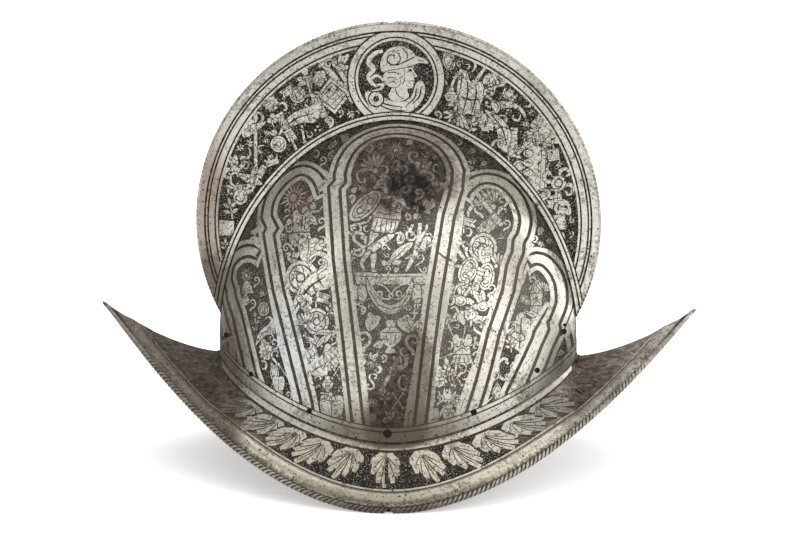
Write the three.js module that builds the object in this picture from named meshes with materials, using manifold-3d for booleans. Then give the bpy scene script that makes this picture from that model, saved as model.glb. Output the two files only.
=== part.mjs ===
// Comb morion: a one-plate steel helmet with a tall comb, a peaked brim and roped edges.
// Millimetres, +Z up, +X to the front. The comb stands in the XZ plane. The helmet rests on
// two small worn flats under the rim, one on each side, so z = 0 is the surface it stands on.

import * as THREE from 'three';
import { mergeVertices } from 'three/addons/utils/BufferGeometryUtils.js';
import Module from 'manifold-3d';

// ---------- driving dimensions ----------

const PLATE = 1.4;                 // thickness of the steel
const SKULL_HALF_LENGTH = 105.5;
const SKULL_HALF_WIDTH = 86;
const SKULL_SHOULDER_Z = 75;       // below this height the skull's walls are upright
const SKULL_CREST_RISE = 129.5;    // from the shoulder to the comb's root over the middle
const SKULL_OUTLINE_POWER = 1.9;   // a little fuller than an ellipse at 2
const SKULL_SECTION_POWER = 0.58;  // 0.5 is an ellipse, and more is more pointed
const BASE_LOW_Z = 32;             // the skull's base line at the sides
const BASE_END_Z = 64;             // and at the front and back
const BASE_POWER = 1.75;
const COMB_CENTRE_Z = 142.5;
const COMB_RADIUS = 117.4;         // to the middle of its roped edge
const COMB_EDGE_HALF = 1.5;        // half-thickness of the comb at its edge
const COMB_ROOT_HALF = 6.5;        // and a COMB_TAPER length in from the edge
const COMB_TAPER = 60;
const COMB_TAPER_POWER = 0.8;
const COMB_LEAST_HOLLOW = 0.08;    // half-width that the comb's hollow narrows to
const COMB_ROLL = 1.6;             // radius of the comb's roped edge
const ROOT_FILLET = 9;             // blend between the skull and the comb
const RIM_HALF_LENGTH = 173;       // to the middle of the rim's roped edge
const RIM_HALF_WIDTH = 115.4;
const RIM_PLAN_POWER = 1.25;
const RIM_RISE = 89;               // from the sides' lowest point to the tips
const RIM_RISE_POWER = 1.9;
const RIM_ROLL = 2.6;              // radius of the rim's roped edge
const RIM_LOW_Z = 2.0;             // middle of that edge at its lowest point, before the flats
const RIDGE_RISE = 27.5;           // of the peaks' ridge, from the skull to the tips
const RIDGE_POWER = 1.6;
const BRIM_FLARE = 1.15;           // over 1 the brim is hollow towards the skull
const BRIM_PLATE = 1.4;
const SINK = 1.0;                   // how far the skull's wall runs down into the brim's plate

// lining rivet holes: x, z, radius; the seventh is torn upward into a keyhole
const NEAR_HOLES = [
  [-99.6, 79.2, 1.6], [-82.4, 62.2, 1.6], [-46.6, 47.5, 1.6], [-1.4, 37.9, 2.5],
  [47.1, 48.0, 1.8], [82.7, 66.6, 1.6], [97.8, 84.3, 1.7],
];
const FAR_HOLES = [
  [-99.0, 77.0, 1.6], [-81.0, 62.0, 1.6], [-46.0, 47.5, 1.6], [0.0, 38.5, 1.8],
  [46.0, 47.5, 1.6], [81.0, 62.0, 1.6], [99.0, 77.0, 1.6],
];
const KEYHOLE = [98.2, 88.0, 1.0];
const RIM_NICK = { x: 1, width: 6, depth: 3.2 };
const COMB_NICK = { x: -4.5, width: 7, depth: 1.4 };

// facets of the rolls: steps along them and sides round them
const RIM_ROLL_FACETS = { steps: 38, sides: 7 };
const COMB_ROLL_FACETS = { steps: 40, sides: 6 };
const COMB_ROLL_START = 3;         // degrees above the shoulder where the comb's roping begins

// rows of the skull's and the comb's skins, as shares of their depth, and the band in from the
// edge that the comb always keeps, with the rounding at its very edge
const SKULL_ROWS = [0, 0.22, 0.42, 0.58, 0.71, 0.81, 0.88, 0.935, 0.975, 1];
const COMB_ROWS = [0.14, 0.5, 1];
const LAST_ROW = SKULL_ROWS.length + COMB_ROWS.length;
const EDGE_BAND = 3.5;
const EDGE_ROUND = 1.2;

// ---------- the helmet's outer surface ----------

const clamp = THREE.MathUtils.clamp;

function smoothMax(a, b, width) {
  const h = Math.max(width - Math.abs(a - b), 0);
  return Math.max(a, b) + (h * h) / (4 * width);
}

// Height of the skull's base line where it meets the brim.
function baseZ(x) {
  const along = clamp(Math.abs(x) / SKULL_HALF_LENGTH, 0, 1);
  return BASE_LOW_Z + (BASE_END_Z - BASE_LOW_Z) * along ** BASE_POWER;
}

// A shell of the helmet inside its outer surface by an inset: 0 outside, PLATE inside.
function shell(inset) {
  const halfLength = SKULL_HALF_LENGTH - inset;
  const crestRise = SKULL_CREST_RISE - inset;
  const edgeInset = inset * 2;

  // Distance from the shoulder's middle to the skull's crest line, in the XZ plane.
  function crest(cos, sin) {
    const p = SKULL_OUTLINE_POWER;
    return (Math.abs(cos / halfLength) ** p + Math.abs(sin / crestRise) ** p) ** (-1 / p);
  }

  // The same to the comb's circular edge.
  function combEdge(sin) {
    const rise = COMB_CENTRE_Z - SKULL_SHOULDER_Z;
    const radius = COMB_RADIUS - edgeInset;
    return rise * sin + Math.sqrt(Math.max(radius * radius - rise * rise * (1 - sin * sin), 0));
  }

  // The outline of the whole side view: the crest or the comb above the shoulder, and below it
  // the upright ends and the base line.
  function outline(angle) {
    const cos = Math.cos(angle);
    const sin = Math.sin(angle);
    if (sin >= -1e-9) return Math.max(crest(cos, Math.abs(sin)), combEdge(Math.abs(sin)));
    let low = 0;
    let high = halfLength / Math.max(Math.abs(cos), 1e-6);
    const below = (r) => SKULL_SHOULDER_Z + r * sin < baseZ(r * cos) - SINK;
    if (!below(high)) return high;
    for (let i = 0; i < 40; i += 1) {
      const middle = (low + high) / 2;
      if (below(middle)) high = middle;
      else low = middle;
    }
    return low;
  }

  // Half-width of the helmet at a point of the side view.
  function halfWidth(x, z) {
    const up = Math.max(z - SKULL_SHOULDER_Z, 0);
    const p = SKULL_OUTLINE_POWER;
    const fill = 1 - Math.abs(x / halfLength) ** p - (up / crestRise) ** p;
    const skull = (SKULL_HALF_WIDTH - inset) * Math.max(fill, 0) ** SKULL_SECTION_POWER;
    const reach = Math.hypot(x, up);
    const edge = up > 0 ? outline(Math.atan2(up, x)) : halfLength;
    const inward = clamp((edge - reach) / COMB_TAPER, 0, 1);
    const swell = (COMB_ROOT_HALF - COMB_EDGE_HALF) * inward ** COMB_TAPER_POWER;
    const comb = Math.max(COMB_EDGE_HALF + swell - inset, COMB_LEAST_HOLLOW);
    return smoothMax(skull, comb, ROOT_FILLET - inset);
  }

  // A point of the near or far skin: row by row from the shoulder's middle, over the skull, up the
  // comb and round its edge onto the middle plane. Below the shoulder the rows end at the base line.
  function skinPoint(side, angle, row) {
    const edge = outline(angle);
    const cos = Math.cos(angle);
    const sin = Math.sin(angle);
    const root = sin < 0 ? edge - EDGE_BAND : Math.min(crest(cos, sin), edge - EDGE_BAND);
    const brow = edge - EDGE_ROUND;
    let reach = edge;
    if (row < SKULL_ROWS.length) reach = root * SKULL_ROWS[row];
    else if (row < LAST_ROW) reach = root + (brow - root) * COMB_ROWS[row - SKULL_ROWS.length];
    const x = reach * cos;
    const z = SKULL_SHOULDER_Z + reach * sin;
    const onBase = sin < 0 && edge * Math.abs(cos) < halfLength - 1e-6;
    const width = row === LAST_ROW && !onBase ? 0 : halfWidth(x, z);
    return [x, side * width, z];
  }

  return { outline, halfWidth, skinPoint };
}

const OUTER = shell(0);
const INNER = shell(PLATE);

// ---------- closed solids from grids ----------

const wasm = await Module();
wasm.setup();

function toGeometry(positions, indices) {
  const geometry = new THREE.BufferGeometry();
  geometry.setAttribute('position', new THREE.Float32BufferAttribute(positions, 3));
  geometry.setIndex(indices);
  return geometry;
}

// Any closed geometry as a manifold solid, with slivers of no area left out.
function toSolid(geometry) {
  const bare = geometry.clone();
  bare.deleteAttribute('normal');
  bare.deleteAttribute('uv');
  const merged = mergeVertices(bare, 1e-4);
  const index = merged.index.array;
  const kept = [];
  for (let i = 0; i < index.length; i += 3) {
    const [a, b, c] = [index[i], index[i + 1], index[i + 2]];
    if (a !== b && b !== c && a !== c) kept.push(a, b, c);
  }
  return new wasm.Manifold(new wasm.Mesh({
    numProp: 3,
    vertProperties: new Float32Array(merged.attributes.position.array),
    triVerts: new Uint32Array(kept),
  }));
}

function toMeshGeometry(solid) {
  const mesh = solid.getMesh();
  const geometry = toGeometry(Array.from(mesh.vertProperties), Array.from(mesh.triVerts));
  geometry.computeVertexNormals();
  return geometry;
}

// The solid between two skins over one grid, each quad split along its shorter diagonal. Where
// the skins' borders part, a wall joins them.
// wrap says that the grid's first and last columns are the same line.
function solidBetween(frontSkin, backSkin, columns, rows, wrap) {
  const positions = [];
  for (const skin of [frontSkin, backSkin]) {
    for (let i = 0; i <= columns; i += 1) {
      for (let j = 0; j <= rows; j += 1) positions.push(...skin(i, j));
    }
  }
  const perSkin = (columns + 1) * (rows + 1);
  const at = (skin, i, j) => skin * perSkin + i * (rows + 1) + j;
  const indices = [];
  const gap = (a, b) => Math.hypot(...[0, 1, 2].map((k) => positions[3 * a + k] - positions[3 * b + k]));
  const quad = (a, b, c, d) => {
    if (gap(a, c) <= gap(b, d)) indices.push(a, b, c, a, c, d);
    else indices.push(a, b, d, b, c, d);
  };
  for (let i = 0; i < columns; i += 1) {
    for (let j = 0; j < rows; j += 1) {
      quad(at(0, i, j), at(0, i + 1, j), at(0, i + 1, j + 1), at(0, i, j + 1));
      quad(at(1, i, j), at(1, i, j + 1), at(1, i + 1, j + 1), at(1, i + 1, j));
    }
    quad(at(0, i + 1, 0), at(0, i, 0), at(1, i, 0), at(1, i + 1, 0));
    quad(at(0, i, rows), at(0, i + 1, rows), at(1, i + 1, rows), at(1, i, rows));
  }
  for (let j = 0; j < rows && !wrap; j += 1) {
    quad(at(0, 0, j), at(0, 0, j + 1), at(1, 0, j + 1), at(1, 0, j));
    quad(at(0, columns, j + 1), at(0, columns, j), at(1, columns, j), at(1, columns, j + 1));
  }
  const solid = toSolid(toGeometry(positions, indices));
  if (solid.volume() > 0) return solid;
  for (let i = 0; i < indices.length; i += 3) {
    [indices[i + 1], indices[i + 2]] = [indices[i + 2], indices[i + 1]];
  }
  return toSolid(toGeometry(positions, indices));
}

// ---------- skull and comb ----------

const UPPER_COLUMNS = 38;
const LOWER_COLUMNS = 18;

// Angles round the side view. Those along the base line crowd towards the skull's ends.
function roundAngles() {
  const angles = [];
  for (let i = 0; i < UPPER_COLUMNS; i += 1) angles.push((Math.PI * i) / UPPER_COLUMNS);
  angles.push(Math.PI);
  for (let i = 0; i <= LOWER_COLUMNS; i += 1) {
    const x = -SKULL_HALF_LENGTH * Math.cos((Math.PI * i) / LOWER_COLUMNS);
    const below = SKULL_SHOULDER_Z - baseZ(x) + SINK;
    angles.push(1.5 * Math.PI + Math.atan2(x, below));
  }
  angles.push(2 * Math.PI);
  return angles;
}

const ANGLES = roundAngles();

// One side of the skull and the comb: the plate between its outer and its inner skin.
function skullAndCombSide(side) {
  const skin = (surface) => (i, j) => surface.skinPoint(side, ANGLES[i], j);
  return solidBetween(skin(OUTER), skin(INNER), ANGLES.length - 1, LAST_ROW, true);
}

// ---------- brim ----------

function rimHalfWidth(x) {
  const along = clamp(Math.abs(x) / RIM_HALF_LENGTH, 0, 1);
  return RIM_HALF_WIDTH * (1 - along * along) ** RIM_PLAN_POWER;
}

function rimZ(x) {
  return RIM_LOW_Z + RIM_RISE * (Math.abs(x) / RIM_HALF_LENGTH) ** RIM_RISE_POWER;
}

// The brim's inner line: the skull's base, and past the skull's ends the peaks' ridge.
function innerZ(x) {
  const beyond = Math.abs(x) - SKULL_HALF_LENGTH;
  if (beyond <= 0) return baseZ(x);
  const span = RIM_HALF_LENGTH - SKULL_HALF_LENGTH;
  return BASE_END_Z + RIDGE_RISE * Math.min(beyond / span, 1) ** RIDGE_POWER;
}

function innerHalfWidth(x) {
  return Math.abs(x) < SKULL_HALF_LENGTH - 0.01 ? OUTER.halfWidth(x, baseZ(x)) - PLATE / 2 : 0;
}

const PEAK_COLUMNS = 9;
const BRIM_ROWS = 3;
const STEEPEST = 1.4;              // slope of the brim that its plate's thickness allows for

// Stations along the brim: the same as the base line's on the skull, and closer towards the tips.
function brimStations() {
  const base = ANGLES.filter((angle) => Math.sin(angle) < -0.05)
    .map((angle) => OUTER.outline(angle) * Math.cos(angle));
  const peak = [];
  for (let i = 1; i <= PEAK_COLUMNS; i += 1) {
    const along = Math.sin((Math.PI / 2) * (i / PEAK_COLUMNS));
    peak.push(SKULL_HALF_LENGTH + (RIM_HALF_LENGTH - SKULL_HALF_LENGTH) * along);
  }
  return [...peak.map((x) => -x).reverse(), ...base, ...peak];
}

const STATIONS = brimStations();

// One side of the brim, from the skull's wall or the peaks' ridge out to the rim.
function brimSide(side) {
  const skin = (lower) => (i, j) => {
    const x = STATIONS[i];
    const out = j / BRIM_ROWS;
    const inner = Math.min(innerHalfWidth(x), rimHalfWidth(x));
    const width = rimHalfWidth(x) - inner;
    const drop = innerZ(x) - rimZ(x);
    const slope = clamp(drop / Math.max(width, 1), 0, STEEPEST);
    const z = rimZ(x) + drop * (1 - out) ** BRIM_FLARE;
    return [x, side * (inner + width * out), z - (lower ? BRIM_PLATE * Math.hypot(1, slope) : 0)];
  };
  return solidBetween(skin(false), skin(true), STATIONS.length - 1, BRIM_ROWS, false);
}

// ---------- roped edges ----------

class RimCurve extends THREE.Curve {
  constructor(side) {
    super();
    this.side = side;
  }

  getPoint(t, target = new THREE.Vector3()) {
    const x = RIM_HALF_LENGTH * Math.sin((Math.PI / 2) * (2 * t - 1));
    return target.set(x, this.side * rimHalfWidth(x), rimZ(x));
  }
}

class CombCurve extends THREE.Curve {
  getPoint(t, target = new THREE.Vector3()) {
    const start = THREE.MathUtils.degToRad(COMB_ROLL_START);
    const angle = start + (Math.PI - 2 * start) * t;
    const reach = OUTER.outline(angle);
    return target.set(reach * Math.cos(angle), 0, SKULL_SHOULDER_Z + reach * Math.sin(angle));
  }
}

function roll(curve, radius, { steps, sides }) {
  const ring = new THREE.Shape();
  for (let i = 0; i <= sides; i += 1) {
    const angle = (2 * Math.PI * (i + 0.5)) / sides;
    const [x, y] = [radius * Math.cos(angle), radius * Math.sin(angle)];
    if (i === 0) ring.moveTo(x, y);
    else ring.lineTo(x, y);
  }
  return toSolid(new THREE.ExtrudeGeometry(ring, { steps, extrudePath: curve }));
}

function tipBead(end) {
  const bead = new THREE.SphereGeometry(RIM_ROLL, 10, 7);
  bead.translate(end * RIM_HALF_LENGTH, 0, rimZ(RIM_HALF_LENGTH));
  return toSolid(bead);
}

// ---------- holes, nicks and worn flats ----------

function rivetHole([x, z, radius], side) {
  const step = 0.5;
  const rise = OUTER.halfWidth(x + step, z) - OUTER.halfWidth(x - step, z);
  const drill = new THREE.CylinderGeometry(radius, radius, 12, 10);
  const outward = new THREE.Vector3(-rise, side * 2 * step, 0).normalize();
  drill.applyQuaternion(new THREE.Quaternion().setFromUnitVectors(new THREE.Vector3(0, 1, 0), outward));
  drill.translate(x, side * OUTER.halfWidth(x, z), z);
  return toSolid(drill);
}

// A wedge that bites up into an edge from the outside.
function wedge(width, depth, thickness) {
  const notch = new THREE.Shape();
  notch.moveTo(0, depth);
  notch.lineTo(-width, -depth);
  notch.lineTo(width, -depth);
  const solid = new THREE.ExtrudeGeometry(notch, { depth: thickness, bevelEnabled: false });
  solid.translate(0, 0, -thickness / 2);
  solid.rotateX(Math.PI / 2);
  return solid;
}

function rimNick() {
  const notch = wedge(RIM_NICK.width, RIM_NICK.depth, 14);
  notch.translate(RIM_NICK.x, -RIM_HALF_WIDTH, 0);
  return toSolid(notch);
}

function combNick() {
  const notch = wedge(COMB_NICK.width, COMB_NICK.depth, 10);
  notch.rotateX(Math.PI);
  notch.translate(COMB_NICK.x, 0, COMB_CENTRE_Z + COMB_RADIUS + COMB_ROLL);
  return toSolid(notch);
}

function floorBlock() {
  const block = new THREE.BoxGeometry(80, 2 * RIM_HALF_WIDTH + 20, 10);
  block.translate(0, 0, -5);
  return toSolid(block);
}

// ---------- the helmet ----------

function helmet() {
  const joined = [];
  for (const side of [-1, 1]) {
    joined.push(skullAndCombSide(side), brimSide(side));
    joined.push(roll(new RimCurve(side), RIM_ROLL, RIM_ROLL_FACETS));
  }
  joined.push(roll(new CombCurve(), COMB_ROLL, COMB_ROLL_FACETS), tipBead(-1), tipBead(1));
  const cuts = [
    ...[...NEAR_HOLES, KEYHOLE].map((hole) => rivetHole(hole, -1)),
    ...FAR_HOLES.map((hole) => rivetHole(hole, 1)),
    rimNick(), combNick(), floorBlock(),
  ];
  const whole = joined.reduce((solid, piece) => solid.add(piece));
  return cuts.reduce((solid, cut) => solid.subtract(cut), whole);
}

const steel = new THREE.MeshStandardMaterial({ color: 0x8f8a82, metalness: 1, roughness: 0.38 });
const helmetShell = new THREE.Mesh(toMeshGeometry(helmet()), steel);
helmetShell.name = 'helmet_shell';

const group = new THREE.Group();
group.add(helmetShell);
export default group;
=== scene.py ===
"""Comb morion helmet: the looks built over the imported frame.

The ornament is drawn as flat outlines, as the etcher saw them from a little above the side. The drawing is
cut into one triangle map and laid on the helmet's own surfaces, and the bright parts are raised above the
etched ground.
"""

import logging
import math
import random
from collections.abc import Callable
from dataclasses import dataclass, field
from enum import Enum

import bmesh
import bpy
import numpy as np
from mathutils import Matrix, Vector
from mathutils.geometry import delaunay_2d_cdt

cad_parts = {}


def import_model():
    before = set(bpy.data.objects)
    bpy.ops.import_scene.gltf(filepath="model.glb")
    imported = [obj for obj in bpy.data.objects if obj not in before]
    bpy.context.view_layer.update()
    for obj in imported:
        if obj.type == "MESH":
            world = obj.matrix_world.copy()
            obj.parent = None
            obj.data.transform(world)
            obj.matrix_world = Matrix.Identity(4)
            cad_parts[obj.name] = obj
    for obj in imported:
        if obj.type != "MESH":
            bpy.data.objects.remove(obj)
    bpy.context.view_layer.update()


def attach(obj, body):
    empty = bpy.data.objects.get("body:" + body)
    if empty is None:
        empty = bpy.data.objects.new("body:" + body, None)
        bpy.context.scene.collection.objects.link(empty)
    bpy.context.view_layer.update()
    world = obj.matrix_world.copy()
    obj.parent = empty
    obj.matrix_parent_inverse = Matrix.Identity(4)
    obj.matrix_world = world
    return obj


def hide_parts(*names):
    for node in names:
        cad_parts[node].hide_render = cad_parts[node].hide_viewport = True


LOG = logging.getLogger("morion")
MM = 0.001
SEEN_FROM = math.radians(12.0)
SEEN_COS, SEEN_SIN = math.cos(SEEN_FROM), math.sin(SEEN_FROM)
ETCH_DEPTH = 0.22

EDGE_HALO = 0.8
JOIN_TOLERANCE = 2e-3
HOLE_POINTS = 14
CUT = "cut"

Array = np.ndarray
Path = Array | list[tuple[float, float]]
Tiers = tuple[tuple[float, float, bool], ...]


class Side(Enum):
    """The two sides of the helmet; the value is the sign of Y."""

    NEAR = -1
    FAR = 1


class Tone(Enum):
    """What a drawn shape is left as."""

    DARK = 0
    BAND = 1
    FIGURE = 2
    LINE = 3


class Slot(Enum):
    """Names of material slots."""

    ETCHED = "etched_ground"
    BRIGHT = "bright_steel"
    ROPED = "roped_steel"
    INSIDE = "inside_steel"


# ---------------------------------------------------------------- the helmet's form


@dataclass(frozen=True)
class HelmetForm:
    """The helmet's own lines in millimetres, +Z up, the comb in the plane Y = 0.

    Args:
        inset: how far the surface lies inside the outer one, 0 for the outer surface.
    """

    inset: float = 0.0
    half_length: float = 105.5
    half_width: float = 86.0
    shoulder_z: float = 75.0
    crest_rise: float = 129.5
    outline_power: float = 1.9
    section_power: float = 0.58
    comb_centre_z: float = 142.5
    comb_radius: float = 117.4
    rim_half_length: float = 173.0
    rim_half_width: float = 115.4

    def crest(self, c: Array, s: Array) -> Array:
        """Gives the skull outline's distance from the shoulder centre in direction (c, s).

        Args:
            c: the direction's cosine.
            s: its sine.
        Returns:
            The distances.
        """
        p = self.outline_power
        a, b = self.half_length - self.inset, self.crest_rise - self.inset
        return (np.abs(c / a) ** p + np.abs(s / b) ** p) ** (-1 / p)

    def comb_edge(self, s: Array) -> Array:
        """Gives the comb circle's distance from the shoulder centre, s the sine of the direction.

        Args:
            s: the direction's sine.
        Returns:
            The distances.
        """
        r = self.comb_centre_z - self.shoulder_z
        reach = self.comb_radius - 2 * self.inset
        return r * s + np.sqrt(np.maximum(reach * reach - r * r * (1 - s * s), 0))

    def edge(self, c: Array, s: Array) -> Array:
        """Returns the outline's distance from the shoulder centre, skull or comb, whichever is further."""
        return np.maximum(self.crest(c, s), self.comb_edge(s))

    def width(self, x: Array, z: Array) -> Array:
        """Gives the half width of the skull and comb at (x, z).

        Args:
            x: places along the helmet.
            z: heights.
        Returns:
            The half widths.
        """
        a, c_rise = self.half_length - self.inset, self.crest_rise - self.inset
        up = np.maximum(z - self.shoulder_z, 0)
        fill = 1 - np.abs(x / a) ** self.outline_power - (up / c_rise) ** self.outline_power
        skull = (self.half_width - self.inset) * np.maximum(fill, 0) ** self.section_power
        reach = np.hypot(x, up)
        safe = np.maximum(reach, 1e-9)
        edge = np.where(up > 0, self.edge(x / safe, up / safe), a)
        inward = np.clip((edge - reach) / 60, 0, 1)
        comb = np.maximum(1.5 + 5 * inward**0.8 - self.inset, 0.08)
        fillet = 9 - self.inset
        blend = np.maximum(fillet - np.abs(skull - comb), 0)
        return np.maximum(skull, comb) + blend * blend / (4 * fillet)

    def base_z(self, x: Array) -> Array:
        """Returns the height of the line where the skull meets the brim."""
        return 32 + 32 * np.clip(np.abs(x) / self.half_length, 0, 1) ** 1.75

    def rim_width(self, x: Array) -> Array:
        """Returns the rim's half width at x."""
        return self.rim_half_width * (1 - np.clip(np.abs(x) / self.rim_half_length, 0, 1) ** 2) ** 1.25

    def rim_z(self, x: Array) -> Array:
        """Returns the rim's height at x."""
        return 2 + 89 * (np.abs(x) / self.rim_half_length) ** 1.9

    def ridge_z(self, x: Array) -> Array:
        """Returns the height of the brim's inner edge, and of the ridge beyond the skull."""
        beyond = np.clip((np.abs(x) - self.half_length) / (self.rim_half_length - self.half_length), 0, 1)
        return np.where(beyond <= 0, self.base_z(x), 64 + 27.5 * beyond**1.6)

    def brim_inner(self, x: Array) -> Array:
        """Returns the half width where the brim starts at x."""
        inner = np.where(np.abs(x) < self.half_length, self.width(x, self.base_z(x)), 0)
        return np.minimum(inner, self.rim_width(x))

    def brim_z(self, x: Array, a: Array) -> Array:
        """Gives the brim's height at x, a from the middle plane.

        Args:
            x: places along the helmet.
            a: distances from the middle plane.
        Returns:
            The heights.
        """
        inner = self.brim_inner(x)
        span = np.maximum(self.rim_width(x) - inner, 1e-6)
        v = np.clip((a - inner) / span, 0, 1)
        return self.rim_z(x) + (self.ridge_z(x) - self.rim_z(x)) * (1 - v) ** 1.15


OUTER = HelmetForm()


def unit(v: Array) -> Array:
    """Returns the rows of v at length 1."""
    return v / np.maximum(np.linalg.norm(v, axis=1, keepdims=True), 1e-12)


@dataclass(frozen=True)
class BowlSurface:
    """The skull and comb, as the drawing plane sees them.

    Args:
        form: the form whose surface this is.
        outward: 1 for the outer face, -1 for the inner one.
    """

    form: HelmetForm = OUTER
    outward: int = 1

    def seen(self, xz: Array) -> Array:
        """Returns the drawing-plane points of side-view points (x, z)."""
        return np.c_[xz[:, 0], SEEN_COS * xz[:, 1] - SEEN_SIN * self.form.width(xz[:, 0], xz[:, 1])]

    def locate(self, p: Array) -> Array:
        """Gives (x, z) of drawing-plane points.

        Args:
            p: the points.
        Returns:
            A row (x, z) for each point.
        """
        x, w = p[:, 0], p[:, 1]
        low, high = w / SEEN_COS - 2, (w + SEEN_SIN * 96) / SEEN_COS + 2
        for _ in range(34):
            mid = (low + high) / 2
            under = SEEN_COS * mid - SEEN_SIN * self.form.width(x, mid) < w
            low, high = np.where(under, mid, low), np.where(under, high, mid)
        return np.c_[x, (low + high) / 2]

    def place(self, q: Array) -> tuple[Array, Array]:
        """Gives the points and outward normals at natural coordinates (x, z), near side.

        Args:
            q: the coordinates.
        Returns:
            The points, and a normal at each.
        """
        x, z, d = q[:, 0], q[:, 1], 0.15
        y = self.form.width(x, z)
        gx = (self.form.width(x + d, z) - self.form.width(x - d, z)) / (2 * d)
        gz = (self.form.width(x, z + d) - self.form.width(x, z - d)) / (2 * d)
        gx, gz = np.clip(gx, -9, 9), np.clip(gz, -9, 9)
        normal = unit(np.c_[-gx, -np.ones_like(x), -gz])
        return np.c_[x, -y, z], normal * self.outward

    def natural(self, points: Array) -> Array:
        """Returns the natural coordinates of 3-D points on or near the surface."""
        return points[:, [0, 2]]


@dataclass(frozen=True)
class BrimSurface:
    """The brim, near side, with its embossed moulding along the rim.

    Args:
        form: the form whose surface this is.
        drop: how far below the upper face this face lies.
        outward: 1 for the upper face, -1 for the underside.
    """

    form: HelmetForm = OUTER
    drop: float = 0.0
    outward: int = 1
    moulding: tuple[float, float, float] = (4.6, 12.4, 1.5)

    def scale(self, x: Array) -> Array:
        """Gives the true distance on the brim per millimetre of plan distance along Y.

        Args:
            x: places along the helmet.
        Returns:
            The ratio at each place.
        """
        inner = self.form.brim_inner(x)
        span = np.maximum(self.form.rim_width(x) - inner, 1e-3)
        fall = self.form.ridge_z(x) - self.form.rim_z(x)
        slope = (self.form.rim_width(x + 0.5) - self.form.rim_width(x - 0.5)) / 1.0
        return np.sqrt(1 + np.minimum(fall / np.maximum(span, 6), 1.6) ** 2) / np.sqrt(1 + slope * slope)

    def from_rim(self, x: Array, distance: float | Array) -> Array:
        """Returns drawing-plane points at a true distance in from the rim."""
        a = np.maximum(self.form.rim_width(x) - distance / self.scale(x), self.form.brim_inner(x))
        return self.seen(np.c_[x, a])

    def from_bowl(self, x: Array, distance: float | Array) -> Array:
        """Returns drawing-plane points at a true distance out from the skull or the ridge."""
        a = np.minimum(self.form.brim_inner(x) + distance / self.scale(x), self.form.rim_width(x))
        return self.seen(np.c_[x, a])

    def seen(self, xa: Array) -> Array:
        """Returns the drawing-plane points of plan points (x, distance from the middle plane)."""
        return np.c_[xa[:, 0], SEEN_COS * self.form.brim_z(xa[:, 0], xa[:, 1]) - SEEN_SIN * xa[:, 1]]

    def locate(self, p: Array) -> Array:
        """Gives (x, a) of drawing-plane points.

        Args:
            p: the points.
        Returns:
            A row (x, a) for each point.
        """
        x, w = p[:, 0], p[:, 1]
        low, high = self.form.brim_inner(x), self.form.rim_width(x)
        for _ in range(30):
            mid = (low + high) / 2
            above = SEEN_COS * self.form.brim_z(x, mid) - SEEN_SIN * mid > w
            low, high = np.where(above, mid, low), np.where(above, high, mid)
        return np.c_[x, (low + high) / 2]

    def height(self, x: Array, a: Array) -> Array:
        """Gives the brim's height with its moulding.

        Args:
            x: places along the helmet.
            a: distances from the middle plane.
        Returns:
            The heights.
        """
        start, end, rise = self.moulding
        distance = (self.form.rim_width(x) - a) * self.scale(x)
        t = np.clip((distance - start) / (end - start), 0, 1)
        bulge = rise * np.sqrt(np.maximum(1 - (2 * t - 1) ** 2, 0)) ** 1.25
        hollow = (1.1 * np.exp(-(((distance - 3.7) / 1.2) ** 2))
                  + 0.35 * np.exp(-(((distance - 13.4) / 0.9) ** 2)))
        fade = np.clip((self.form.rim_width(x) - 5) / 15, 0, 1)
        return self.form.brim_z(x, a) - self.drop + (bulge - hollow) * fade

    def place(self, q: Array) -> tuple[Array, Array]:
        """Gives the points and outward normals at natural coordinates (x, a), near side.

        Args:
            q: the coordinates.
        Returns:
            The points, and a normal at each.
        """
        x, a, d = q[:, 0], q[:, 1], 0.12
        z = self.height(x, a)
        gx = (self.height(x + d, a) - self.height(x - d, a)) / (2 * d)
        ga = (self.height(x, a + d) - self.height(x, a - d)) / (2 * d)
        gx, ga = np.clip(gx, -3, 3), np.clip(ga, -3, 3)
        normal = unit(np.c_[-gx, ga, np.ones_like(x)])
        return np.c_[x, -a, z], normal * self.outward

    def natural(self, points: Array) -> Array:
        """Returns the natural coordinates of 3-D points on or near the surface."""
        return np.c_[points[:, 0], np.abs(points[:, 1])]


# ---------------------------------------------------------------- drawing


def smooth_curve(points: Path, per: int = 4, closed: bool = False) -> Array:
    """Gives a Catmull-Rom curve through points, with per steps between neighbours.

    Args:
        points: the points it runs through.
        per: the steps between neighbours.
        closed: whether it closes on itself.
    Returns:
        The curve's points.
    """
    p = np.asarray(points, float)
    n = len(p)
    if closed:
        q = np.vstack([p[-1], p, p[0], p[1]])
    else:
        q = np.vstack([2 * p[0] - p[1], p, 2 * p[-1] - p[-2]])
    spans = n if closed else n - 1
    t = np.arange(per)[:, None] / per
    out = []
    for i in range(spans):
        a, b, c, d = q[i : i + 4]
        out.append(0.5 * (2 * b + (c - a) * t + (2 * a - 5 * b + 4 * c - d) * t**2
                          + (3 * b - a - 3 * c + d) * t**3))
    if not closed:
        out.append(p[-1:])
    return np.vstack(out)


def side_vectors(path: Array) -> Array:
    """Gives the leftward mitre vectors of an open path.

    Args:
        path: the path's points.
    Returns:
        A vector for each point.
    """
    step = np.diff(path, axis=0)
    step = step / np.maximum(np.linalg.norm(step, axis=1, keepdims=True), 1e-9)
    left = np.c_[-step[:, 1], step[:, 0]]
    joint = np.vstack([left[:1], left[:-1] + left[1:], left[-1:]])
    size = np.maximum((joint**2).sum(1, keepdims=True), 1e-3)
    mitre = joint * 2 / size
    mitre[0], mitre[-1] = left[0], left[-1]
    length = np.linalg.norm(mitre, axis=1, keepdims=True)
    return mitre * np.minimum(1, 1.7 / np.maximum(length, 1e-9))


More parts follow.
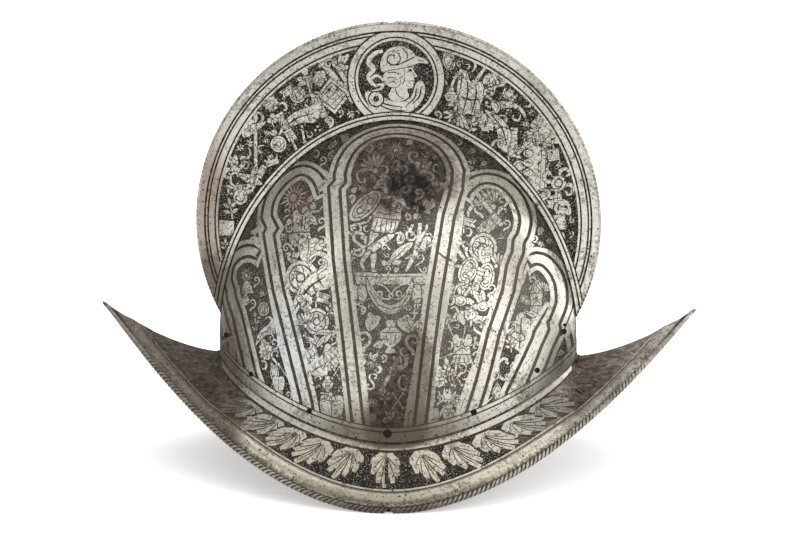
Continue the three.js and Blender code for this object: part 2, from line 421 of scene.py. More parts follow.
def stroke(path: Path, w0: float, w1: float | None = None, w2: float | None = None) -> Array:
    """Gives the outline of a stroke along a path: width w0 at its start, w1 half way, w2 at its end.

    Args:
        path: the stroke's middle line.
        w0: its width at the start.
        w1: half way.
        w2: at the end.
    Returns:
        The closed outline.
    """
    path = np.asarray(path, float)
    t = np.linspace(0, 1, len(path))
    w1 = w0 if w1 is None else w1
    w2 = w1 if w2 is None else w2
    half = np.interp(t, [0, 0.5, 1], [w0, w1, w2])[:, None] / 2
    side = side_vectors(path)
    return np.vstack([path + side * half, (path - side * half)[::-1]])


def oval(cx: float, cy: float, rx: float, ry: float | None = None, turn: float = 0, n: int = 16) -> Array:
    """Gives an oval outline, turn in degrees.

    Args:
        cx: the centre across.
        cy: the centre up.
        rx: the half width.
        ry: the half height, or None for a circle.
        turn: the turn in degrees.
        n: the points round it.
    Returns:
        The closed outline.
    """
    ry = rx if ry is None else ry
    t = np.arange(n) * 2 * math.pi / n
    c, s = math.cos(math.radians(turn)), math.sin(math.radians(turn))
    x, y = rx * np.cos(t), ry * np.sin(t)
    return np.c_[cx + x * c - y * s, cy + x * s + y * c]


def arc(cx: float, cy: float, r: float, a0: float, a1: float, n: int = 8, r1: float | None = None) -> Array:
    """Gives the points of an arc from a0 to a1 degrees, its radius going from r to r1.

    Args:
        cx: the centre across.
        cy: the centre up.
        r: the radius at the start.
        a0: the first angle.
        a1: the last angle.
        n: the points along it.
        r1: the radius at the end, or None for the same.
    Returns:
        The arc's points.
    """
    t = np.radians(np.linspace(a0, a1, n))
    rr = np.linspace(r, r if r1 is None else r1, n)
    return np.c_[cx + rr * np.cos(t), cy + rr * np.sin(t)]


def band(a: Array, b: Array) -> Array:
    """Returns the closed outline between two paths."""
    return np.vstack([a, b[::-1]])


@dataclass
class Sketch:
    """Closed outlines in painter's order, each left standing or etched away."""

    shapes: list[tuple[Tone, Array]] = field(default_factory=list)

    def bright(self, *outlines: Path) -> "Sketch":
        """Adds engraved figures."""
        self.shapes += [(Tone.FIGURE, np.asarray(o, float)) for o in outlines]
        return self

    def band(self, *outlines: Path) -> "Sketch":
        """Adds plain bright bands."""
        self.shapes += [(Tone.BAND, np.asarray(o, float)) for o in outlines]
        return self

    def dark(self, *outlines: Path) -> "Sketch":
        """Adds dark shapes."""
        self.shapes += [(Tone.DARK, np.asarray(o, float)) for o in outlines]
        return self

    def line(self, *outlines: Path) -> "Sketch":
        """Adds plain dark grooves."""
        self.shapes += [(Tone.LINE, np.asarray(o, float)) for o in outlines]
        return self

    def tiers(self, line_at: Callable[[float], Array], rows: Tiers) -> None:
        """Adds bands and grooves between parallel lines.

        Args:
            line_at: gives the line at an offset.
            rows: each tier's two offsets, and whether it is a band.
        """
        for first, last, standing in rows:
            (self.band if standing else self.line)(band(line_at(first), line_at(last)))

    def lines(self, *paths: Path, width: float = 0.6) -> "Sketch":
        """Adds dark engraved lines."""
        return self.line(*[stroke(p, width * 0.7, width, width * 0.5) for p in paths])

    def placed(self, x: float, w: float, size: float = 1, turn: float = 0, flip: bool = False,
               squash: float = 1) -> "Sketch":
        """Gives a copy turned by degrees, scaled and moved; squash narrows it along the plane's X.

        Args:
            x: the new place across.
            w: the new place up.
            size: the scale.
            turn: the turn in degrees.
            flip: whether it is mirrored first.
            squash: how much it narrows.
        Returns:
            The copy.
        """
        c, s = math.cos(math.radians(turn)), math.sin(math.radians(turn))
        out = Sketch()
        for tone, o in self.shapes:
            px = -o[:, 0] if flip else o[:, 0]
            rx, ry = px * c - o[:, 1] * s, px * s + o[:, 1] * c
            out.shapes.append((tone, np.c_[x + rx * size * squash, w + ry * size]))
        return out

    def haloed(self, width: float = 1.0) -> "Sketch":
        """Gives a copy whose bright shapes are each set off by a dark line round them.

        Args:
            width: the dark line's width.
        Returns:
            The copy.
        """
        out = Sketch()
        for tone, o in self.shapes:
            if tone in (Tone.BAND, Tone.FIGURE):
                out.shapes.append((Tone.LINE, stroke(np.vstack([o, o[:2]]), width)))
            out.shapes.append((tone, o))
        return out

    def add(self, other: "Sketch") -> "Sketch":
        """Adds another sketch's shapes on top."""
        self.shapes += other.shapes
        return self


def winding(outline: Array, points: Array) -> Array:
    """Gives how many times the outline winds round each point.

    Args:
        outline: a closed outline.
        points: the points to test.
    Returns:
        A count for each point.
    """
    a, b = outline, np.roll(outline, -1, axis=0)
    total = np.zeros(len(points), int)
    px, py = points[:, 0], points[:, 1]
    for (x0, y0), (x1, y1) in zip(a, b):
        if y0 == y1:
            continue
        rising = y1 > y0
        hit = (py >= y0) & (py < y1) if rising else (py >= y1) & (py < y0)
        if not hit.any():
            continue
        turn = (x1 - x0) * (py[hit] - y0) - (px[hit] - x0) * (y1 - y0)
        idx = np.flatnonzero(hit)
        if rising:
            total[idx[turn > 0]] += 1
        else:
            total[idx[turn < 0]] -= 1
    return total


def inside(outline: Array, points: Array) -> Array:
    """Gives which points lie inside a closed outline.

    Args:
        outline: a closed outline.
        points: the points to test.
    Returns:
        A truth value for each point.
    """
    low, high = outline.min(0), outline.max(0)
    mask = ((points >= low) & (points <= high)).all(1)
    out = np.zeros(len(points), bool)
    idx = np.flatnonzero(mask)
    if len(idx):
        out[idx] = winding(outline, points[idx]) != 0
    return out


# ---------------------------------------------------------------- small ornaments, each about 20 mm high


class Motif:
    """The etcher's stock of small ornaments, each drawn about the origin in a box 20 high."""

    @staticmethod
    def c_scroll() -> Sketch:
        """Draws a C-scroll with curled ends.

        Returns:
            The sketch.
        """
        p = smooth_curve([(3.5, 4.5), (1.5, 6), (3, 8.6), (-1, 9.6), (-6, 6), (-7, 0), (-6, -6), (-1, -9.6),
                          (3, -8.6), (1.5, -6), (3.5, -4.5)], 3)
        return Sketch().bright(stroke(p, 1.4, 3.6, 1.4), oval(3.4, 5.4, 1.5, n=8), oval(3.4, -5.4, 1.5, n=8))

    @staticmethod
    def s_scroll() -> Sketch:
        """Draws an S-scroll.

        Returns:
            The sketch.
        """
        p = smooth_curve([(5, 4.5), (6, 7.5), (2.5, 9.6), (-2, 8), (-2.6, 4), (0, 0), (2.6, -4), (2, -8),
                          (-2.5, -9.6), (-6, -7.5), (-5, -4.5)], 3)
        return Sketch().bright(stroke(p, 1.6, 2.8, 1.6), oval(4.6, 4.2, 1.7, n=8), oval(-4.6, -4.2, 1.7, n=8))

    @staticmethod
    def curl() -> Sketch:
        """Returns one curled tendril."""
        p = smooth_curve([(-5, -9), (-2, -5), (3, -3), (6, 2), (4, 7), (-1, 8), (-4, 5), (-2, 2), (1, 3)], 3)
        return Sketch().bright(stroke(p, 3.4, 2.6, 1.4))

    @staticmethod
    def leaf() -> Sketch:
        """Draws a serrated acanthus leaf with hatched lobes, its tip up.

        Returns:
            The sketch.
        """
        side = [(0, -10), (3.5, -8), (5.5, -9), (5, -5.5), (8, -5.5), (6, -2), (8.5, -0.5), (5.2, 1.8),
                (6.2, 4.5), (3.2, 5), (2.6, 8), (0, 10)]
        loop = side + [(-x, y) for x, y in side[-2:0:-1]]
        lines = [[(0, -8), (0, 7)]]
        for s in (-1, 1):
            lines += [[(0.3 * s, -5 + 4 * k), (4.2 * s, -3.2 + 3.4 * k)] for k in range(3)]
        return Sketch().bright(np.array(loop)).lines(*lines, width=0.9)

    @staticmethod
    def sprig() -> Sketch:
        """Draws a stem with five leaves.

        Returns:
            The sketch.
        """
        s = Sketch().bright(stroke(smooth_curve([(0, -10), (0.6, -3), (0, 4)]), 1.6, 1.3, 1.0))
        for x, y, a in ((0, 7, 0), (-3.6, 3.4, 50), (3.6, 3.4, -50), (-4, -2.6, 65), (4, -2.6, -65)):
            leaf = smooth_curve([(0, -3.4), (1.7, -0.6), (0, 3.6), (-1.7, -0.6)], 3, closed=True)
            s.add(Sketch().bright(leaf).placed(x, y, 1, a))
        return s

    @staticmethod
    def trefoil() -> Sketch:
        """Returns a trefoil on a short stem."""
        return Sketch().bright(oval(0, 5.2, 3.6), oval(-4.2, -0.6, 3.4), oval(4.2, -0.6, 3.4),
                               stroke([(0, 0), (0, -5), (2, -9.5)], 2.2, 1.8, 1.2)
                               ).dark(oval(0, 1.2, 1.1, n=8))

    @staticmethod
    def rosette() -> Sketch:
        """Draws a round boss with four curled arms.

        Returns:
            The sketch.
        """
        s = Sketch()
        for a in (45, 135, 225, 315):
            arm = smooth_curve([(3, 0), (7, 2.2), (9.6, -0.6), (8, -3.6), (5.8, -2.2)], 3)
            s.add(Sketch().bright(stroke(arm, 2.2, 1.9, 1.2)).placed(0, 0, 1, a))
        return s.bright(oval(0, 0, 4.4)).dark(oval(0, 0, 2.7)).bright(oval(0, 0, 1.9))

    @staticmethod
    def round_shield() -> Sketch:
        """Draws a round shield with rings and a boss.

        Returns:
            The sketch.
        """
        s = Sketch().bright(oval(0, 0, 9.6, n=24)).dark(oval(0, 0, 7.6, n=20)).bright(oval(0, 0, 6.8, n=20))
        s.dark(oval(0, 0, 3.2)).bright(oval(0, 0, 2.3, n=10))
        return s.lines(*[arc(0, 0, 3.6, a, a + 25, 3, 6.4) for a in range(0, 360, 60)], width=0.8)

    @staticmethod
    def oval_shield() -> Sketch:
        """Returns an oval shield with a scrolled inner field."""
        s = Sketch().bright(oval(0, 0, 6.2, 9.8, n=22)).dark(
            oval(0, 0, 4.8, 8.2, n=20)).bright(oval(0, 0, 4.2, 7.5, n=20))
        return s.lines(arc(0, 3.4, 2.2, -60, 220), arc(0, -3.4, 2.2, 120, 400), [(-2.6, 0), (2.6, 0)],
                       width=0.8)

    @staticmethod
    def point_shield() -> Sketch:
        """Draws a pointed shield with a hatched half.

        Returns:
            The sketch.
        """
        loop = smooth_curve([(-7, 8), (-3, 9), (0, 7.6), (3, 9), (7, 8), (7.4, 1), (4.6, -6), (0, -10),
                             (-4.6, -6), (-7.4, 1)], 2, closed=True)
        s = Sketch().bright(loop).lines([(0, 7), (0, -8.6)], width=0.9)
        return s.lines(*[[(1.2, 5 - 2.6 * k), (5.6 - 0.7 * k, 6 - 2.6 * k)] for k in range(5)], width=0.7)

    @staticmethod
    def cuirass() -> Sketch:
        """Draws an antique cuirass with shoulder straps and a skirt of straps.

        Returns:
            The sketch.
        """
        body = smooth_curve([(-2, 7.4), (-3, 9.8), (-6, 9), (-6.4, 5), (-5, 1), (-5.4, -3), (5.4, -3), (5, 1),
                             (6.4, 5), (6, 9), (3, 9.8), (2, 7.4)], 2, closed=True)
        skirt = np.array([(-5.6, -3.8), (5.6, -3.8), (7.6, -9.6), (5, -9), (3.8, -10), (1.3, -9.2), (0, -10),
                          (-1.3, -9.2), (-3.8, -10), (-5, -9), (-7.6, -9.6)])
        s = Sketch().bright(body, skirt).dark(stroke([(-6, -3.4), (6, -3.4)], 0.8))
        s.lines(*[[(x, -4.6), (x * 1.35, -9)] for x in (-3.6, -1.2, 1.2, 3.6)], width=0.8)
        return s.lines([(0, 6.4), (0, -2)], arc(-2.4, 3.4, 1.7, -150, 60, 6), arc(2.4, 3.4, 1.7, 120, 330, 6),
                       arc(0, -2.4, 3.4, 20, 160, 6), width=0.8)

    @staticmethod
    def helmet() -> Sketch:
        """Draws a small plumed helmet facing right.

        Returns:
            The sketch.
        """
        plume = smooth_curve([(3, 7), (-1, 9.8), (-6, 8.6), (-9, 4), (-9, -2), (-7.2, -6), (-6.4, -1),
                              (-4.6, 3.4), (0, 6)], 2, closed=True)
        dome = smooth_curve([(-5.6, -3), (-5, 2.6), (0, 5.6), (5, 3.4), (6.4, -1), (9, -3.4), (6, -4.6),
                             (0, -4), (-3, -8.6), (-6.6, -8.8)], 2, closed=True)
        s = Sketch().bright(plume, dome)
        s.lines(smooth_curve([(-4.6, -2.4), (0, -1.4), (6, -2.4)]), arc(0.6, 1, 2, 0, 300, 8), width=0.8)
        return s.lines(*[[(-8.4 + k, -2 + 3 * k), (-6.2 + 1.5 * k, -1.4 + 2.2 * k)] for k in range(4)],
                       width=0.7)

    @staticmethod
    def banner() -> Sketch:
        """Draws a furled square banner on its staff.

        Returns:
            The sketch.
        """
        cloth = smooth_curve([(-5, 9), (0, 7.6), (5.4, 9), (6.4, 3), (5.2, -3), (6, -8), (0, -7), (-5, -8.6)],
                             2, closed=True)
        s = Sketch().bright(stroke([(-6.4, 10), (-6.4, -10)], 1.3), cloth)
        return s.lines(smooth_curve([(-2.6, 8), (-1.6, 2), (-2.6, -7.4)]),
                       smooth_curve([(1.6, 7.6), (2.6, 1), (1.6, -6.8)]),
                       smooth_curve([(-4.6, 0.4), (0, -0.6), (5.4, 0.6)]), width=0.8)

    @staticmethod
    def pennant() -> Sketch:
        """Draws a swallow-tailed pennant.

        Returns:
            The sketch.
        """
        cloth = np.array([(-7, 8), (7.6, 4.4), (3.6, 0.6), (7, -4), (-7, -1)])
        return Sketch().bright(stroke([(-7.4, 10), (-7.4, -10)], 1.4), cloth).lines([(-5.6, 3.4), (3, 1)],
                [(-5.6, 6), (4.6, 3.8)], width=0.8)

    @staticmethod
    def spear() -> Sketch:
        """Returns a spear, its leaf blade up."""
        blade = np.array([(0, 10), (1.5, 6.4), (0.6, 4), (-0.6, 4), (-1.5, 6.4)])
        return Sketch().bright(stroke([(0, 4.6), (0, -10)], 0.9), blade,
                               stroke([(-1.6, 3.6), (1.6, 3.6)], 0.8))

    @staticmethod
    def halberd() -> Sketch:
        """Draws a halberd.

        Returns:
            The sketch.
        """
        axe = smooth_curve([(0.6, 5.6), (4.6, 7.6), (5.4, 3.4), (4.4, -0.6), (0.6, 1.4)], 2, closed=True)
        hook = np.array([(-0.5, 4.6), (-4, 5.4), (-2.4, 3.2), (-0.5, 2.4)])
        return Sketch().bright(stroke([(0, 6), (0, -10)], 1.2), np.array([(0, 10), (1, 6), (-1, 6)]), axe,
                               hook)

    @staticmethod
    def horn() -> Sketch:
        """Draws a curved trumpet with a flared bell.

        Returns:
            The sketch.
        """
        p = smooth_curve([(-9, -8), (-7, -1), (-1, 4), (6, 5.6)], 5)
        bell = smooth_curve([(5, 3.2), (8.6, 1.4), (9.8, 5.8), (8.6, 10), (5, 8)], 2, closed=True)
        s = Sketch().bright(stroke(p, 1.4, 3.2, 5.2), bell)
        return s.lines([(-4.6, 4.2), (-2.6, 0.6)], [(0.4, 7.4), (1.6, 2.6)], arc(8.2, 5.8, 2.6, 100, 260, 6),
                       width=0.8)

    @staticmethod
    def big_horn() -> Sketch:
        """Draws a wide crescent horn with a curled mouth.

        Returns:
            The sketch.
        """
        outer = smooth_curve([(-8, -10), (-6.6, -4), (-2.6, 1.6), (3.4, 5.2), (5.4, 8.4), (3, 9.8),
                              (0.6, 8.6)], 4)
        inner = smooth_curve([(-8, -10), (-3.6, -5.4), (2, -2), (7, -1), (8.8, 3.6), (8, 8.4), (4.4, 11),
                              (0.6, 9.6)], 4)
        s = Sketch().bright(band(outer, inner))
        return s.lines(smooth_curve([(-6.6, -6.6), (-1, -0.6), (5.6, 2.6)]), [(-2.6, -0.6), (0, -3.4)],
                       [(2.6, 2.6), (4.6, -1)], width=0.7)

    @staticmethod
    def drum() -> Sketch:
        """Draws a laced drum on its side.

        Returns:
            The sketch.
        """
        s = Sketch().bright(np.array([(-9, -5.4), (9, -5.4), (9, 5.4), (-9, 5.4)]), oval(-9, 0, 2, 5.4, n=12),
                            oval(9, 0, 2, 5.4, n=12))
        s.lines([(-6, 5), (-6, -5)], [(6.6, 5), (6.6, -5)], width=0.9)
        return s.lines([(-6, -4.4), (-3, 4.4), (0, -4.4), (3, 4.4), (6, -4.4)], width=0.7)

    @staticmethod
    def crescent() -> Sketch:
        """Returns an upright crescent."""
        return Sketch().bright(band(arc(0, 3, 9.6, 195, 345, 14), arc(0, 6.4, 9.9, 212, 328, 14)))

    @staticmethod
    def crown() -> Sketch:
        """Returns an open crown."""
        s = Sketch().bright(np.array([(-7.6, -6), (7.6, -6), (9, 5), (4.6, 0), (2.6, 7.6), (0, 1),
                                      (-2.6, 7.6), (-4.6, 0), (-9, 5)]))
        return s.bright(oval(0, 5, 1.4, n=8)).lines([(-7, -3.4), (7, -3.4)], width=0.9)

    @staticmethod
    def urn() -> Sketch:
        """Draws an urn with a gadrooned bowl.

        Returns:
            The sketch.
        """
        loop = smooth_curve([(-3.4, 9.6), (3.4, 9.6), (2.2, 6), (6.8, 2), (4.8, -4), (1.4, -6.6), (3.8, -10),
                             (-3.8, -10), (-1.4, -6.6), (-4.8, -4), (-6.8, 2), (-2.2, 6)], 2, closed=True)
        return Sketch().bright(loop).lines([(-5.6, 2.4), (5.6, 2.4)], [(-2.6, 5.6), (2.6, 5.6)],
                                           [(0, 1.4), (0, -5.4)], [(-3, 1.4), (-2, -4)], [(3, 1.4), (2, -4)],
                                           width=0.8)

    @staticmethod
    def fan() -> Sketch:
        """Draws a fan of feathers.

        Returns:
            The sketch.
        """
        s = Sketch()
        for a in range(-60, 61, 20):
            s.add(Sketch().bright(smooth_curve([(0, 0), (1.6, 9), (0, 14.6), (-1.6, 9)], 3,
                                  closed=True)).placed(0, -7, 1.1, a))
        return s.bright(oval(0, -8, 2.4, n=10))

    @staticmethod
    def sunburst() -> Sketch:
        """Draws a burst of rays round a small disc.

        Returns:
            The sketch.
        """
        s = Sketch()
        for i in range(16):
            a = math.radians(22.5 * i)
            r = 10 if i % 2 else 7.6
            s.bright(stroke([(3.4 * math.cos(a), 3.4 * math.sin(a)), (r * math.cos(a), r * math.sin(a))], 1.4,
                            1, 0.3))
        return s.bright(oval(0, 0, 2.4, n=10))

    @staticmethod
    def dolphin() -> Sketch:
        """Draws a leafy dolphin, its head right.

        Returns:
            The sketch.
        """
        body = smooth_curve([(9, 1), (6.6, 4.4), (1, 5), (-4, 2), (-6.6, 5), (-9.8, 4), (-8, 1), (-9.6, -3.4),
                             (-6, -2.4), (-3.4, -1.6), (1, -2.6), (4.6, -6), (6.4, -2.6), (9.6, -2.4)], 3,
                            closed=True)
        s = Sketch().bright(body, stroke(smooth_curve([(2, 4), (0, 8.6), (-4, 8)]), 2.2, 1.6, 0.8))
        return s.dark(oval(6, 1.4, 0.9, n=8)).lines(arc(2.4, 0, 3, 110, 250, 6), [(-4, 1), (-7.6, 2.4)],
                [(-4, 0), (-7.4, -1.4)], width=0.8)

    @staticmethod
    def dragon() -> Sketch:
        """Draws a winged beast of leaf scrolls.

        Returns:
            The sketch.
        """
        wing = smooth_curve([(-1, -1), (-6, 6), (-5.4, 9.6), (-1.4, 7), (0.6, 9.8), (3, 6), (2.6, 1)], 3,
                            closed=True)
        tail = smooth_curve([(-1, -2), (-6, -3), (-8.8, -7), (-5.6, -9.6), (-3, -7.4), (-4.8, -6)], 3)
        neck = smooth_curve([(0, 0), (5, -1), (7.6, 3), (6, 6.6), (8.6, 7.4), (10, 5.6)], 3)
        s = Sketch().bright(wing, stroke(tail, 4, 2.4, 1.2), stroke(neck, 4.4, 3, 1.6), oval(1, -2.4, 4, 3.2))
        return s.lines([(-0.4, 1), (-3.6, 6.6)], [(0.8, 1.4), (0.2, 7.2)], arc(1, -2.4, 2.2, 160, 330, 6),
                       width=0.8)

    @staticmethod
    def tile() -> Sketch:
        """Returns a hatched square tablet."""
        s = Sketch().bright(np.array([(-8, -8), (8, -8), (8, 8), (-8, 8)])).dark(
            stroke([(-6, 6), (-6, -6), (6, -6), (6, 6), (-6, 6)], 0.7))
        return s.lines(*[[(-4 + 4 * k, 5), (-5 + 4 * k, -5)] for k in range(3)], [(-5, 1.6), (5, 2.4)],
                       [(-5, -2.4), (5, -1.6)], width=0.7)

    @staticmethod
    def square() -> Sketch:
        """Returns a plain square tablet."""
        return Sketch().bright(np.array([(-7.6, -8), (7.6, -7.4), (8, 7.6), (-7.2, 8)]))

    @staticmethod
    def diamond() -> Sketch:
        """Returns a diamond with an inner line."""
        return Sketch().bright(np.array([(0, 10), (7, 0), (0, -10), (-7, 0)])).dark(
            stroke([(0, 7.6), (5.2, 0), (0, -7.6), (-5.2, 0), (0, 7.6)], 0.8))

    @staticmethod
    def ball() -> Sketch:
        """Returns a ball with a ring."""
        return Sketch().bright(oval(0, 0, 9.4, n=18)).dark(stroke(arc(0, 0, 6.4, 0, 350, 14), 1.1))

    @staticmethod
    def bar() -> Sketch:
        """Returns a plain staff with two collars."""
        return Sketch().bright(stroke([(0, 10), (0, -10)], 2.0), stroke([(-1.8, 6), (1.8, 6)], 1.1),
                               stroke([(-1.8, -6), (1.8, -6)], 1.1))

    @staticmethod
    def crossed() -> Sketch:
        """Returns two crossed staffs with ball ends."""
        return Sketch().bright(stroke([(-6, 9), (6, -9)], 1.5), stroke([(6, 9), (-6, -9)], 1.5),
                               oval(-6.2, 9, 1.8, n=8), oval(6.2, 9, 1.8, n=8), oval(-6.2, -9, 1.8, n=8),
                               oval(6.2, -9, 1.8, n=8))

    @staticmethod
    def barrel() -> Sketch:
        """Returns a banded cannon barrel."""
        s = Sketch().bright(np.array([(-3, -10), (3, -10), (2.2, 6), (3, 7), (3, 10), (-3, 10), (-3, 7),
                                      (-2.2, 6)]))
        return s.lines([(-3, -7), (3, -7)], [(-2.8, -1), (2.8, -1)], [(-2.4, 4.6), (2.4, 4.6)],
                       [(-3, 7.6), (3, 7.6)], width=0.9)

    @staticmethod
    def tower() -> Sketch:
        """Returns a tall block with a scalloped edge."""
        s = Sketch().bright(np.array([(-1.4, -10), (4, -10), (4, 10), (-1.4, 10)]))
        return s.bright(*[oval(-1.6, -8.4 + 2.8 * k, 1.5, 1.1, n=8) for k in range(7)]).dark(
            stroke([(2.6, -9), (2.6, 9)], 0.4))

    @staticmethod
    def house() -> Sketch:
        """Returns a small peaked hood."""
        return Sketch().bright(np.array([(-6, -8), (6, -8), (6, 1), (9, 1), (0, 10), (-9, 1),
                                         (-6, 1)])).lines([(-5.4, -1), (5.4, -1)], [(-3, -2), (-3, -7.4)],
                [(0, -2), (0, -7.4)], [(3, -2), (3, -7.4)], width=0.9)

    @staticmethod
    def winged() -> Sketch:
        """Returns a half shield with drooping wings."""
        s = Sketch().bright(np.array([(-10, 5), (10, 6), (9, 1), (4, -2), (-4, -2), (-9, -1)]),
                            oval(0, -3, 5, 5.4))
        return s.lines(arc(0, -3, 3.2, 150, 390, 8), [(-8, 3), (-3, 1)], [(8, 4), (3, 1)], width=0.9)

    @staticmethod
    def mitre() -> Sketch:
        """Draws a pair of almond leaves crossed.

        Returns:
            The sketch.
        """
        leaf = smooth_curve([(0, -9), (3, 0), (0, 10), (-3, 0)], 3, closed=True)
        one = Sketch().bright(leaf).lines([(0, -6), (0, 7)], width=0.9)
        return Sketch().add(one.placed(-1.6, 0, 1, 38)).add(one.placed(1.6, 0, 1, -38).haloed(0.8))

    @staticmethod
    def dots() -> Sketch:
        """Returns three small dots."""
        return Sketch().bright(oval(-6, -3, 3, n=8), oval(6, -3, 3, n=8), oval(0, 6, 3, n=8))

    @staticmethod
    def hook() -> Sketch:
        """Returns a small comma-shaped hook."""
        return Sketch().bright(stroke(smooth_curve([(-6, 8), (4, 7), (7, 0), (3, -7), (-3, -6)], 3), 1.6, 5,
                                      2.4))


# ---------------------------------------------------------------- where the ornaments stand
# Each row: motif, x and height in the drawing plane in mm, size (1 is 20 mm high), and where it has them its
# turn in degrees and 1 if it is mirrored.

COMB = (
    ("bar", -36.5, 222.8, 1.18, 40), ("bar", -32.9, 225.8, 0.77, 30), ("dragon", -32.4, 230.4, 0.44, 0, 1),
    ("tile", -37.6, 212.5, 0.62, -38), ("house", -45.2, 222.8, 0.35, -30),
    ("pennant", -54.6, 219.9, 0.41, 0, 1), ("spear", -51.7, 218.2, 0.94, 15),
    ("round_shield", -58.1, 212.9, 0.32), ("s_scroll", -49.3, 210.1, 0.35, -30),
    ("bar", -42.9, 203.8, 0.65, 25), ("helmet", -45.2, 202.0, 0.32), ("pennant", -64.6, 213.4, 0.35, 20, 1),
    ("leaf", -74.6, 208.2, 0.38, 60), ("big_horn", -57.0, 200.1, 0.88, -10),
    ("barrel", -65.2, 194.3, 0.59, 30), ("bar", -54.7, 189.2, 0.41, 10), ("spear", -61.7, 187.3, 1, 25),
    ("trefoil", -72.9, 198.3, 0.29), ("curl", -81.7, 198.2, 0.35), ("halberd", -82.9, 188.9, 1.06, 0, 1),
    ("round_shield", -69.4, 184.4, 0.32), ("crescent", -88.3, 178.4, 0.27, 60),
    ("crown", -73.6, 175.0, 0.32, 20), ("dragon", -95.5, 171.4, 0.47), ("mitre", -84.9, 164.5, 0.56, 30),
    ("winged", -92.1, 156.1, 0.56), ("sprig", -98.1, 146.7, 0.41, 10), ("square", -100.6, 135.4, 0.38),
    ("drum", -79.5, 168.5, 0.24, 60), ("hook", -89.0, 172.0, 0.18), ("hook", -66.9, 205.8, 0.21, 40),
    ("dots", -59.3, 206.0, 0.15), ("curl", -38.8, 231.6, 0.24, 120), ("oval_shield", 29.8, 233.2, 0.38, 10),
    ("crescent", 42.6, 231.1, 0.32, 100), ("house", 38.0, 224.1, 0.32, 20), ("banner", 42.2, 211.5, 0.8, -8),
    ("bar", 47.9, 225.4, 0.59, -35), ("bar", 31.7, 219.5, 0.47, -20), ("helmet", 56.0, 220.3, 0.44, 20),
    ("fan", 59.5, 224.3, 0.32, -30), ("s_scroll", 53.2, 212.2, 0.35, 20), ("crown", 64.8, 214.0, 0.32, -30),
    ("horn", 64.8, 204.7, 0.59, 20, 1), ("hook", 75.3, 209.5, 0.21), ("drum", 82.9, 199.2, 0.38, 50),
    ("leaf", 52.7, 198.8, 0.44, -30), ("leaf", 48.0, 201.2, 0.32, 30), ("hook", 60.8, 199.5, 0.21),
    ("big_horn", 61.5, 192.6, 0.88, -100), ("urn", 31.1, 212.5, 0.35), ("fan", 34.1, 199.8, 0.41, 150),
    ("sprig", 42.8, 195.9, 0.38, -20), ("barrel", 67.9, 188.0, 0.47), ("c_scroll", 58.0, 183.9, 0.29, -30),
    ("pennant", 68.6, 179.3, 0.35), ("ball", 70.9, 172.4, 0.27), ("tower", 79.1, 174.8, 1.3),
    ("spear", 84.9, 177.1, 1.65, -2), ("trefoil", 90.0, 188.2, 0.35), ("tile", 90.7, 179.6, 0.27, 10),
    ("crescent", 89.6, 170.8, 0.32, -70), ("rosette", 93.8, 163.3, 0.65, 20),
    ("dolphin", 91.6, 149.9, 0.71, -15), ("square", 94.0, 140.5, 0.38, 8), ("dots", 77.8, 188.7, 0.18),
    ("curl", 86.2, 156.2, 0.27), ("hook", 94.7, 131.7, 0.24), ("sprig", 97.1, 124.7, 0.29),
    ("c_scroll", -95.0, 163.7, 0.27), ("dots", -86.4, 193.0, 0.15), ("hook", -79.4, 181.4, 0.18, 0, 1),
    ("curl", -39.4, 196.8, 0.27, 30), ("dots", -46.4, 193.3, 0.15), ("sprig", -101.3, 124.9, 0.27),
    ("hook", -103.3, 115.4, 0.18), ("mitre", 40.6, 188.3, 0.29), ("curl", 22.5, 200.8, 0.27, -30),
    ("hook", -21.9, 235.1, 0.18),
)
SPANDREL = (
    ("tile", -30.1, 188.0, 0.21, 20), ("drum", -37.0, 183.9, 0.21, 45), ("curl", -42.1, 173.7, 0.27),
    ("hook", -47.0, 178.6, 0.21), ("mitre", -37.9, 166.2, 0.27), ("curl", 29.0, 182.0, 0.27, 0, 1),
    ("trefoil", 37.1, 176.3, 0.24), ("dots", 36.8, 170.4, 0.18), ("curl", 43.0, 169.3, 0.24, 0, 1),
    ("hook", 33.0, 165.6, 0.18), ("sprig", -79.3, 138.1, 0.27, -30), ("curl", -83.4, 131.1, 0.27),
    ("hook", -87.0, 123.9, 0.18), ("curl", 73.9, 134.5, 0.27, 0, 1), ("sprig", 78.6, 124.8, 0.29, 30),
    ("hook", 80.2, 130.5, 0.18), ("dots", 71.5, 140.8, 0.15),
)
